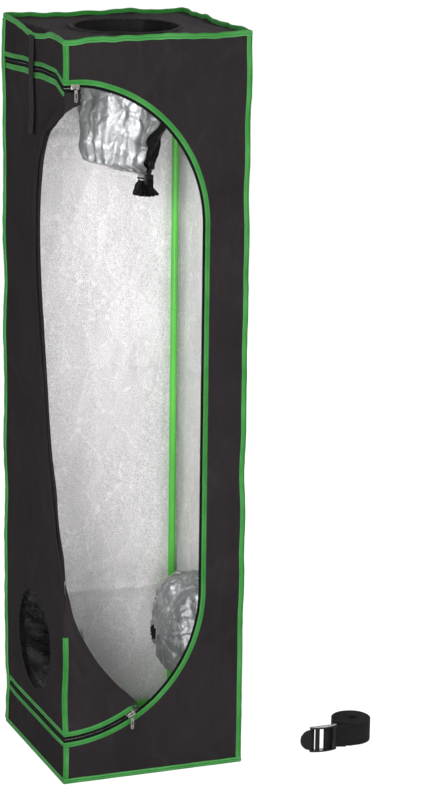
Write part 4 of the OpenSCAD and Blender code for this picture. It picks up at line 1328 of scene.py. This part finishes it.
def flat_tape(name, start, end, low, high, near=-1.02 * MM, far=-1.8 * MM):
    rows, uvs = [], []
    for s in stations(start, end, 8 * MM, CORNER_STOPS):
        corners = [(low, near), ((low + high) / 2, near + 0.1 * MM), (high, near), (high, far), (low, far)]
        rows.append([zip_place(s, across, out) for across, out in corners])
        uvs += [(s, across) for across, out in corners]
    return rows_mesh(name, rows, closed=True, uvs=uvs)


tooth = added(bpy.ops.mesh.primitive_cube_add, size=1)
tooth.scale = (1.9 * MM, 2.5 * MM, 1.7 * MM)
settle(tooth)
finish_modifier(tooth, "BEVEL", width=0.45 * MM, segments=1)


def row_of_teeth(name, runs, across):
    points, faces = [], []
    shape = tooth.data
    for start, end in runs:
        for k in range(int((end - start) / TOOTH_PITCH)):
            s = start + (k + 0.5) * TOOTH_PITCH
            at = zip_place(s, across, 0.0)
            ahead = (zip_place(s + 0.4 * MM, across, 0.0) - at).normalized()
            out = (zip_place(s, across, 1 * MM) - at).normalized()
            beside = out.cross(ahead)
            base = len(points)
            for v in shape.vertices:
                points.append(at + ahead * v.co.x + beside * v.co.y + out * (v.co.z - 0.1 * MM))
            faces += [[base + i for i in face.vertices] for face in shape.polygons]
    mesh = bpy.data.meshes.new(name)
    mesh.from_pydata(points, [], faces)
    return edited(new_object(name, mesh), (bpy.ops.mesh.normals_make_consistent, {"inside": False}))


def with_parts(name, body, slot, node, *parts):
    """Joins parts that already carry their finishes into one piece."""
    whole = joined(*parts)
    whole.name = whole.data.name = name
    return finish_piece(whole, body, None, slot, node)


def dressed(obj, finish):
    obj.data.materials.clear()
    obj.data.materials.append(finish)
    return obj


FLAP_TOP_END = FRONT_START + 36 * MM
TAPE_LOW_START = FRONT_END - math.radians(28) * ZIP_R
TAPE_NEAR, TAPE_FAR = 1 * MM, 14.6 * MM  # from the middle of the zip to the two sides of a tape
TAPE_START = 4.5 * MM  # the door's tapes start this far from the ends of the zip
TEETH = 1.5 * MM  # from the middle of the zip to the middle of a row of teeth
zip_frame = with_parts(
    "zip_outer_half", "tent", "zip_black", "zip_half_frame",
    dressed(flat_tape("tape_a", 0, ZIP_END, TAPE_NEAR, TAPE_FAR), zip_tape),
    dressed(row_of_teeth("teeth_a", [(0, ZIP_END)], TEETH), zip_teeth),
)
teeth_runs = [(BAND_START, FLAP_TOP_END), (TAPE_LOW_START, ZIP_END - BAND_START)]
zip_flap = with_parts(
    "zip_door_half", "door", "zip_black", "zip_half_flap",
    dressed(flat_tape("tape_b", TAPE_START, FLAP_TOP_END, -TAPE_FAR, -TAPE_NEAR), zip_tape),
    dressed(flat_tape("tape_c", TAPE_LOW_START, ZIP_END - TAPE_START, -TAPE_FAR, -TAPE_NEAR), zip_tape),
    dressed(row_of_teeth("teeth_b", teeth_runs, -TEETH), zip_teeth),
)
bpy.data.objects.remove(tooth)
print("zip halves:", len(zip_frame.data.polygons), "and", len(zip_flap.data.polygons), "faces")

# %% [markdown]
# The sliders and their pulls are die-cast and plated. Their shape comes from the frame, and the casting's
# soft edges from a bevel, which also gives the metal its bright lines.

# %% Sliders and pulls
zip_metal = [
    ("slider_lower", "slider_low", "lower_slider"), ("slider_upper", "slider_high", "upper_slider"),
    ("pull_lower", "pull_low", "lower_pull"), ("pull_upper", "pull_high", "upper_pull"),
]
for node, name, body in zip_metal:
    softened(node, name, 0.35 * MM, body, nickel, "nickel")
print("sliders and pulls:", len(zip_metal))

# %% [markdown]
# A duct sleeve is a tube of cloth, cut as wide as its port all the way and drawn together at its neck by a
# cord. All its width has to go somewhere, so it stands in pleats that grow deeper towards the neck. It is
# built ring by ring: each ring has a mean radius, and the pleat depth follows from the cloth that the ring
# must still hold. Broad and narrow pleats are mixed and shifted by slow waves, because cloth never gathers
# evenly, and creases are laid over.

# %% Gathered sleeves
MOUTH = 111.6 * MM


def ring_at(rings, depth):
    """Radius, two drifts, between the given rings, in metres."""
    for a, b in zip(rings, rings[1:]):
        if depth <= b[0]:
            t = ease(depth - a[0], b[0] - a[0]) if b[0] > a[0] else 1
            return [(a[i] + (b[i] - a[i]) * t) * MM for i in (1, 2, 3)]
    return [v * MM for v in rings[-1][1:4]]


def three_cornered(turn):
    """A wave with straight flanks, like a fold."""
    return math.asin(0.96 * math.sin(turn)) / 1.287


def pleat_depth(count, radius):
    """How deep count pleats have to be for the sleeve's cloth to go round at this radius, in millimetres."""
    return 0.5 * math.sqrt(max(0, (math.pi * MOUTH / count) ** 2 - (math.pi * radius / count) ** 2))


def sleeve_rows(rings, place, seed, broad, narrow, crumple, hem=None, gap=None):
    """Rows of points round a sleeve, from mouth to end. broad and narrow are numbers of pleats."""
    coarse = 1
    around = 240 // coarse
    length = rings[-1][0]
    levels = max(20, round(length / 3.2) // coarse)
    rows = []
    for k in range(levels + 1):
        depth = length * k / levels
        radius, du, dv = ring_at(rings, depth)
        spare, fine = pleat_depth(broad, radius), pleat_depth(narrow, radius)
        room = max(1.5 * MM, radius * 0.24)
        away = ease(depth - 8, 40)
        row = []
        for i in range(around):
            a = math.tau * i / around
            c, s = math.cos(a), math.sin(a)
            slow = noise.noise(Vector((c * 1.4, s * 1.4, depth * 0.009 + seed)))
            quick = noise.noise(Vector((c * 3.1, s * 3.1, depth * 0.02 + seed + 9)))
            wide = three_cornered(broad * a + 2.6 * slow) * (0.75 + quick)
            small = three_cornered(narrow * a + 2.0 * quick + depth * 0.01) * (0.7 + slow)
            r = radius + away * (0.42 * min(spare, room) * wide + 0.5 * min(fine, room * 0.8) * small)
            crease = noise.noise(Vector((c * 4.5, s * 4.5, depth * 0.024 + seed))) * 4.2 * MM
            crease += noise.noise(Vector((c * 13, s * 13, depth * 0.08 + seed))) * 1.2 * MM
            sharp = noise.noise(Vector((c * 2.8, s * 2.8, depth * 0.021 + seed + 20)))
            crease += max(0, 1 - 4.5 * abs(sharp)) * 3.2 * MM
            full = min(1, radius / (40 * MM))
            r += away * crumple * crease * full
            if hem:
                level = depth - hem - 22 * math.cos(a + 0.35) + 5 * quick
                r += 5.5 * MM * math.exp(-((level / 3.2) ** 2)) * away
            if gap:
                inside = gap(depth, a)
                r += full * (2.6 * MM * math.exp(-((inside / 2.6) ** 2)) - 4 * MM * ease(inside - 1, 4))
            row.append(place(depth * MM, r * c + du, r * s + dv))
        row.append(row[0].copy())
        rows.append(row)
    return rows


def sleeve_piece(name, rows, outer, inner, node, length, hangs_from, turned=None):
    obj = tidy_mesh(rows_mesh(name, rows), 2e-5)
    # The outer side has to face away from the middle of the tube before the other layer is put behind it.
    middle = sum((Vector(p) for p in rows[len(rows) // 3][:-1]), Vector()) / (len(rows[0]) - 1)
    face = min(obj.data.polygons, key=lambda f: (f.center - Vector(rows[len(rows) // 3][0])).length)
    if (face.center - middle).dot(face.normal) < 0:
        flipped(obj)
    area = sum(p.area for p in obj.data.polygons)
    thicken(obj, outer, inner, 0.9 * MM, turned)
    rounded(obj, SMOOTH_CLOTH)
    finish_piece(obj, "tent" if node != "left_sleeve" else "door", None, "silver_lining", node)
    flat = (math.tau * MOUTH, length)
    cut = flat[0] * flat[1]
    min(1, area / cut) * cut
    print(name, len(obj.data.polygons), "faces,", round(area / cut, 2), "of the cut cloth in view")
    return obj


# %% [markdown]
# The roof sleeve hangs into the tent. Its left side falls straight, and its foot is pulled over to the right,
# where the cord closes it. A hem crosses it below the roof, and near its right side the long seam gapes and
# shows black.

# %% Roof sleeve
ROOF_RINGS = [
    (0, 113, 0, 0), (22, 111.6, 0, 0), (95, 102, 0, 0), (165, 95, 1, 0), (205, 90, -3, 0), (240, 82, -9, 0),
    (280, 70, -12, 0), (300, 42, 16, 0), (312, 15, 40, 0), (318, 10.5, 44, 0), (329, 10.5, 44, 0),
    (340, 17, 44, 0), (360, 25, 48, 0),
]
ROOF_HEM = 132  # depth of the hem that crosses the roof sleeve, in millimetres


def seam_gap(depth, turn):
    """How many degrees a place is inside the gaping seam, or outside it if negative."""
    degrees = math.degrees(turn) - (360 if turn > math.pi else 0)
    from_edges = min(degrees + 50 + 16 * ease(depth - 180, 40), -24 - degrees)
    return from_edges if 50 < depth < 308 else -20


def seam_shows(p):
    depth = (ROOF_Z - p.z) / MM
    _, du, dv = ring_at(ROOF_RINGS, depth)
    return depth > 326 or seam_gap(depth, math.atan2(p.y - dv, p.x - du) % math.tau) > 1


def roof_place(d, u, v):
    return Vector((u, v, ROOF_Z + 1.0 * MM - d))


roof_rows = sleeve_rows(ROOF_RINGS, roof_place, 3.0, 7, 17, 1.0, ROOF_HEM, seam_gap)
roof_hold = ("roof_sleeve", 0.36, "roof_cloth")
sleeve_piece("roof_sleeve_cloth", roof_rows, shaded_silver_sleeve, black_sleeve, *roof_hold, seam_shows)

# %% [markdown]
# The left sleeve hangs from the port in the opened door. It is all black from outside, a dark funnel with
# folds that run to its tied neck. The right one has its silver side inwards, and its foot sinks a little.

# %% Side sleeves
LEFT_RINGS = [
    (0, 114, 0, 0), (5, 110, 0, 0), (14, 98, 0, 0), (27, 86, 0, 0), (40, 68, 2, 0), (52, 46, 4, 0),
    (66, 24, 5, 0), (79, 6, 6, 0), (87, 6, 6, 0), (95, 16, 6, 0), (104, 23, 6, 0),
]
RIGHT_RINGS = [
    (0, 113.5, 0, 0), (20, 112, 0, 0), (44, 111, 2, 0), (70, 107, 5, 2), (90, 96, 9, 4), (104, 72, 13, 4),
    (112, 38, 15, 2), (118, 6, 15, 0), (121, 6, 15, 0), (128, 18, 15, 0),
]


def left_place(d, u, v):
    """The slack cloth in the left port sinks and bulges in level folds."""
    fold = 7 * wave((v * 0.5, u, 0), 30, 6) + 4 * max(0, 1 - 4 * abs(wave((v * 0.6, u + v * 0.3, 0), 19, 11)))
    fold *= ease(d - 4 * MM, 22 * MM) * ease(math.hypot(u, v) - 0.024, 0.03)
    return Vector((-HALF + CLOTH + d + fold * MM, v, PORT_Z - u))


def right_place(d, u, v):
    return Vector((HALF - CLOTH - d, v, PORT_Z - u))


left_rows = sleeve_rows(LEFT_RINGS, left_place, 12.0, 7, 19, 1.5)
left_hold = ("left_sleeve", 0.15, "door_flap_cloth")
sleeve_piece("left_sleeve_cloth", left_rows, shaded_silver_sleeve, slack_cloth, *left_hold)
right_rows = sleeve_rows(RIGHT_RINGS, right_place, 21.0, 5, 14, 2.0)
right_hold = ("right_sleeve", 0.17, "right_cloth")
sleeve_piece("right_sleeve_cloth", right_rows, shaded_silver_sleeve, black_sleeve, *right_hold)

# %% [markdown]
# The cord that closes the roof sleeve goes round the neck and through a spring lock, and its two ends hang
# down with a knot in each. Round the neck it is a plain ring. The ends are free cords, so they are curves
# with a round bend where they come out of the lock.

# %% Drawcord
NECK = Vector((44 * MM, 0, ROOF_Z - 318 * MM * 1.015))
CORD_RING, CORD_D = 13.7 * MM, 3 * MM
LOCK_DEEP = 22 * MM  # length of the cord lock along the cords
CORD_SIDE = 3 * MM  # each cord runs this far from the middle of the lock
torus = {"major_segments": 96, "minor_segments": 12, "major_radius": CORD_RING, "minor_radius": CORD_D / 2}
cord_ring = settle(added(bpy.ops.mesh.primitive_torus_add, "drawcord_ring", location=NECK, **torus))
for v in cord_ring.data.vertices:
    turn = math.atan2(v.co.y - NECK.y, v.co.x - NECK.x)
    v.co.z += 0.8 * MM * math.sin(turn * 2 + 0.5)
runs_in = []
for side in (-1, 1):
    in_lock = NECK + Vector((side * CORD_SIDE, -CORD_RING - LOCK_DEEP / 2, 0))
    rod = {"vertices": 14, "radius": CORD_D / 2 - 0.05 * MM, "depth": LOCK_DEEP}
    way = {"rotation": (math.pi / 2, 0, 0), "location": in_lock}
    runs_in.append(settle(added(bpy.ops.mesh.primitive_cylinder_add, **rod, **way)))
joined(cord_ring, *runs_in)
rounded(cord_ring, 50)
finish_piece(cord_ring, "tent", cord_weave, "black_cord", "roof_drawcord")

for side, name in ((-1, "left"), (1, "right")):
    exit_at = NECK + Vector((side * CORD_SIDE, -CORD_RING - LOCK_DEEP - 0.2 * MM, 0))
    bend, straight = 6.6 * MM, 1.2 * MM
    route = [exit_at.copy(), exit_at + Vector((0, -straight, 0))]
    for degrees in range(15, 91, 15):
        a = math.radians(degrees)
        route.append(exit_at + Vector((0, -straight - bend * math.sin(a), -bend * (1 - math.cos(a)))))
    last = route[-1]
    for k in range(1, 7):
        route.append(last + Vector((side * 0.25 * MM * k, 0.1 * MM * k, -3.8 * MM * k)))
    length = sum((b - a).length for a, b in zip(route, route[1:]))
    line = bpy.data.curves.new(f"cord_end_{name}", "CURVE")
    line.dimensions = "3D"
    spline = line.splines.new("POLY")
    spline.points.add(len(route) - 1)
    for point, at in zip(spline.points, route):
        point.co = (*at, 1)
    line.bevel_depth, line.bevel_resolution, line.use_fill_caps = CORD_D / 2, 4, True
    cord = new_object(f"cord_end_{name}", line)
    line.materials.append(cord_weave)
    ball = {"segments": 16, "ring_count": 10, "radius": 3.1 * MM}
    under = route[-1] - Vector((0, 0, 1.2 * MM))
    knot = settle(added(bpy.ops.mesh.primitive_uv_sphere_add, f"cord_knot_{name}", location=under, **ball))
    for v in knot.data.vertices:
        v.co += (v.co - route[-1]).normalized() * 0.7 * MM * wave(v.co, 320, side)
    rounded(knot, SMOOTH_CLOTH)
    finish_piece(knot, "tent", cord_weave, "black_cord")
    finish_piece(cord, "tent", None, "black_cord")
    print("cord end", name, round(length, 4), "m")

# %% [markdown]
# The lock is a small moulded barrel with a sprung button. Both keep their shape from the frame, with the
# rounded edges of a moulding.

# %% Cord lock
softened("cord_lock_barrel", "lock_barrel", 1.4 * MM, "tent", black_plastic, "black_plastic", 3)
softened("cord_lock_button", "lock_button_cap", 0.8 * MM, "lock_button", black_plastic, "black_plastic", 3)

# %% [markdown]
# The tie strap holds the door when it is rolled to the side. It is sewn to the roof seam and hangs in front
# of the left wall, with its end folded up and sewn. Webbing is thick and stiff across, so it stays flat and
# only curls along its length.

# %% Tie strap
TIE_TOP, TIE_LENGTH, TIE_W, TIE_T = 1580 * MM, 206 * MM, 32 * MM, 1.5 * MM


def tie_out(z):
    """How far the strap hangs from the wall at a height: it rides over the zip bands and then hangs clear."""
    down = TIE_TOP - z
    sway = 1.2 * MM * math.sin(down * 30) * ease(down - 0.05, 0.08)
    return 2.9 * MM + 1.6 * MM * ease(down - 0.02, 0.05) + sway


# The section of the webbing, across and through.
TIE_SECTION = [
    (-0.5, 0.2), (-0.47, 0), (-0.2, 0), (0, 0), (0.2, 0), (0.47, 0), (0.5, 0.2),
    (0.5, 0.8), (0.47, 1), (0.2, 1), (0, 1), (-0.2, 1), (-0.47, 1), (-0.5, 0.8),
]
TIE_ROWS = 52
TIE_HEM = 22 * MM  # the end of the strap is folded double over this length
rows, uvs = [], []
for k in range(TIE_ROWS + 1):
    z = TIE_TOP - TIE_LENGTH * k / TIE_ROWS
    curl = 0.5 * MM * math.sin(z * 60)
    hem = TIE_T if z < TIE_TOP - TIE_LENGTH + TIE_HEM else 0
    row = []
    for across, thick in TIE_SECTION:
        out = tie_out(z) + thick * (TIE_T + hem)
        row.append(Vector((-HALF - out + curl * across, across * TIE_W, z)))
        uvs.append((across * TIE_W, z))
    rows.append(row)
tie = rounded(rows_mesh("tie_strap_webbing", rows, closed=True, uvs=uvs), 50)
finish_piece(tie, "tie_strap", webbing, "black_webbing", "tie_strap")
print("tie strap:", len(tie.data.polygons), "faces")

# %% [markdown]
# A loose strap with a ladder buckle stands rolled up beside the tent. The webbing is one long ribbon, so it
# is made as one: its section is carried along the coil and on through the buckle. The turns of a hand-rolled
# coil are not quite round about one centre, so each turn is set a little to one side of the last.

# %% Rolled strap
ROLL_X, ROLL_Y, WEB_W, WEB_T, WEB_TURNS = 488 * MM, -150 * MM, 50 * MM, 2 * MM, 11
WEB_PITCH, CORE_R = 3.2 * MM, 9 * MM
COIL_R = CORE_R + WEB_PITCH * WEB_TURNS
LOOP_X, LOOP_Y, LOOP_R = -80, -5.6, 4.8  # the turn of the webbing in the buckle, in millimetres


def coil_point(turns):
    """A point of the coil after so many turns from its core."""
    a, r = math.tau * turns, CORE_R + WEB_PITCH * turns
    inward = WEB_TURNS - turns
    shift = 0.42 * MM * min(inward, 9)
    return Vector((-r * math.sin(a) + shift * 0.8, -r * math.cos(a) - shift * 0.6))


tail = [(-30, -2.3), (-63, -2.3), (-67.5, -2.7), (-70.5, -4.6), (-74.5, -8.5)]
for degrees in range(-60, -271, -15):
    a = math.radians(degrees)
    tail.append((LOOP_X + LOOP_R * math.cos(a), LOOP_Y + LOOP_R * math.sin(a)))
tail += [(-74, -0.2), (-66, 0), (-45, 0), (-20, 0), (-8, 0)]
route = [Vector((x * MM, y * MM - COIL_R)) for x, y in tail]
per_turn = 60
route += [coil_point(WEB_TURNS - k / per_turn) for k in range(WEB_TURNS * per_turn + 1)]
section = [
    (0, 0.35), (0.012, 0), (0.25, 0), (0.5, 0), (0.75, 0), (0.988, 0), (1, 0.35),
    (1, 0.65), (0.988, 1), (0.75, 1), (0.5, 1), (0.25, 1), (0.012, 1), (0, 0.65),
]
rows, uvs, along = [], [], 0
for k, at in enumerate(route):
    ahead = (route[min(k + 1, len(route) - 1)] - route[max(k - 1, 0)]).normalized()
    side = Vector((-ahead.y, ahead.x))
    if k:
        along += (at - route[k - 1]).length
    in_buckle = 1 if at.y + COIL_R < 3 * MM and -92 * MM < at.x < -44 * MM and k < len(tail) else 0
    row = []
    for height, thick in section:
        low = 3.9 * MM if in_buckle else 0.1 * MM
        z = low + (WEB_W - low) * height + (0.35 * MM * wave((along * 30, 0, 0), 1, 4) if height > 0.5 else 0)
        p = at + side * (WEB_T * (0.5 - thick))
        row.append(Vector((ROLL_X + p.x, ROLL_Y + p.y, z)))
        uvs.append((z, along + (2 if thick > 0.5 else 0)))
    rows.append(row)
strap = rounded(rows_mesh("rolled_webbing", rows, closed=True, uvs=uvs), 50)
finish_piece(strap, "tent", webbing, "black_webbing", "strap_roll")
print("webbing:", round(along, 2), "m long,", len(strap.data.polygons), "faces")

# %% [markdown]
# The ladder buckle is one nylon moulding with generous round edges. Its thumb tab has grip waves across it,
# so the copy is cut across the tab at small steps and the cuts are moved in and out in a wave. Next to the
# tab the buckle is closed at the back by a thin wall, which leaves a dark recess for the thumb.

# %% Buckle
buckle = copy_of("strap_buckle", "ladder_buckle")
tab_edge, wave_length = ROLL_X - 118 * MM, 6.5 * MM
slice_every(buckle, 0, wave_length / 6, tab_edge - 23 * MM, tab_edge - 1.5 * MM)
bevel = {"width": 1.1 * MM, "segments": 3, "limit_method": "ANGLE", "angle_limit": math.radians(50)}
finish_modifier(buckle, "BEVEL", **bevel)
for v in buckle.data.vertices:
    if v.co.x < tab_edge - 1 * MM:
        grip = math.sin((tab_edge - v.co.x) * math.tau / wave_length)
        v.co.y += 0.5 * MM * grip * ease(tab_edge - 1 * MM - v.co.x, 4 * MM)
at = (tab_edge + 6.5 * MM, ROLL_Y - COIL_R - 3.1 * MM, 28.5 * MM)
recess = added(bpy.ops.mesh.primitive_cube_add, size=1, location=at)
recess.scale = (8.6 * MM, 1 * MM, 50.6 * MM)
joined(buckle, settle(recess))
rounded(buckle, 45)
finish_piece(buckle, "tent", buckle_plastic, "black_plastic", "strap_buckle")
print("buckle:", len(buckle.data.polygons), "faces")

# %% [markdown]
# The tent stands on a pale floor in soft studio light. The background is plain white: the world shows white
# to the camera, and lights the tent a little less strongly.

# %% Floor, light and finish
FLOOR_WHITE = 0.76  # how much of the floor's look is plain white
SEEN_BY = ("Is Camera Ray", "Is Glossy Ray", "Is Transmission Ray")
floor = added(bpy.ops.mesh.primitive_plane_add, size=60)
floor.name = "studio_floor"


def make_floor():
    """Pale paper that takes the tent's shadow. To the camera and in reflections it is mostly plain white."""
    f = Finish("studio_floor", roughness=0.9, Specular_IOR_Level=0.1)
    f.colour(shade(238, 238, 238))
    rays = f.tree.nodes.new("ShaderNodeLightPath").outputs
    camera_ray, glossy_ray, through_ray = (Value(f, rays[name]) for name in SEEN_BY)
    seen = camera_ray + glossy_ray + through_ray
    white = f.node("ShaderNodeEmission", {}, {"Color": (1, 1, 1, 1), "Strength": 1.2})
    both = f.node("ShaderNodeMixShader", {}, {0: seen.clamp() * FLOOR_WHITE, 2: white}).socket.node
    f.tree.links.new(f.shader.outputs[0], both.inputs[1])
    output = next(n for n in f.tree.nodes if n.type == "OUTPUT_MATERIAL")
    f.tree.links.new(both.outputs[0], output.inputs["Surface"])
    return f.material


floor.data.materials.append(make_floor())

world = bpy.data.worlds.new("studio")
bpy.context.scene.world = world
world.use_nodes = True
links, world_nodes = world.node_tree.links, world.node_tree.nodes
background = world_nodes["Background"]
background.inputs["Color"].default_value = (1, 1, 1, 1)
background.inputs["Strength"].default_value = 0.5
seen = world_nodes.new("ShaderNodeBackground")
seen.inputs["Color"].default_value = (1, 1, 1, 1)
rays = world_nodes.new("ShaderNodeLightPath")
mixed = world_nodes.new("ShaderNodeMixShader")
white_for = [rays.outputs[name] for name in ("Is Camera Ray", "Is Glossy Ray", "Is Transmission Ray")]
for ray in white_for[1:]:
    either = world_nodes.new("ShaderNodeMath")
    either.operation = "MAXIMUM"
    links.new(white_for[0], either.inputs[0])
    links.new(ray, either.inputs[1])
    white_for[0] = either.outputs[0]
links.new(white_for[0], mixed.inputs[0])
links.new(background.outputs[0], mixed.inputs[1])
links.new(seen.outputs[0], mixed.inputs[2])
links.new(mixed.outputs[0], world_nodes["World Output"].inputs["Surface"])


def soft_light(name, at, toward, size, power):
    lamp = bpy.data.lights.new(name, "AREA")
    lamp.shape, lamp.size, lamp.energy = "DISK", size, power
    obj = new_object(name, lamp)
    obj.location = at
    obj.rotation_euler = (Vector(toward) - Vector(at)).to_track_quat("-Z", "Y").to_euler()
    return obj


soft_light("key", (1.6, -3.6, 3.4), (0, 0, 0.9), 1.6, 50)
soft_light("fill", (-3.2, -2.2, 2.2), (0, 0, 0.7), 2.2, 12)
soft_light("front_box", (-1.9, -2.6, 1.9), (0.05, 0.05, 0.85), 1.0, 62)
soft_light("low_box", (-1.1, -3.0, 0.45), (0.05, 0.15, 0.3), 0.9, 27)
soft_light("back_box", (2.3, 3.2, 2.5), (0, 0, 0.8), 2.0, 95)

bpy.context.scene.view_settings.view_transform = "Standard"
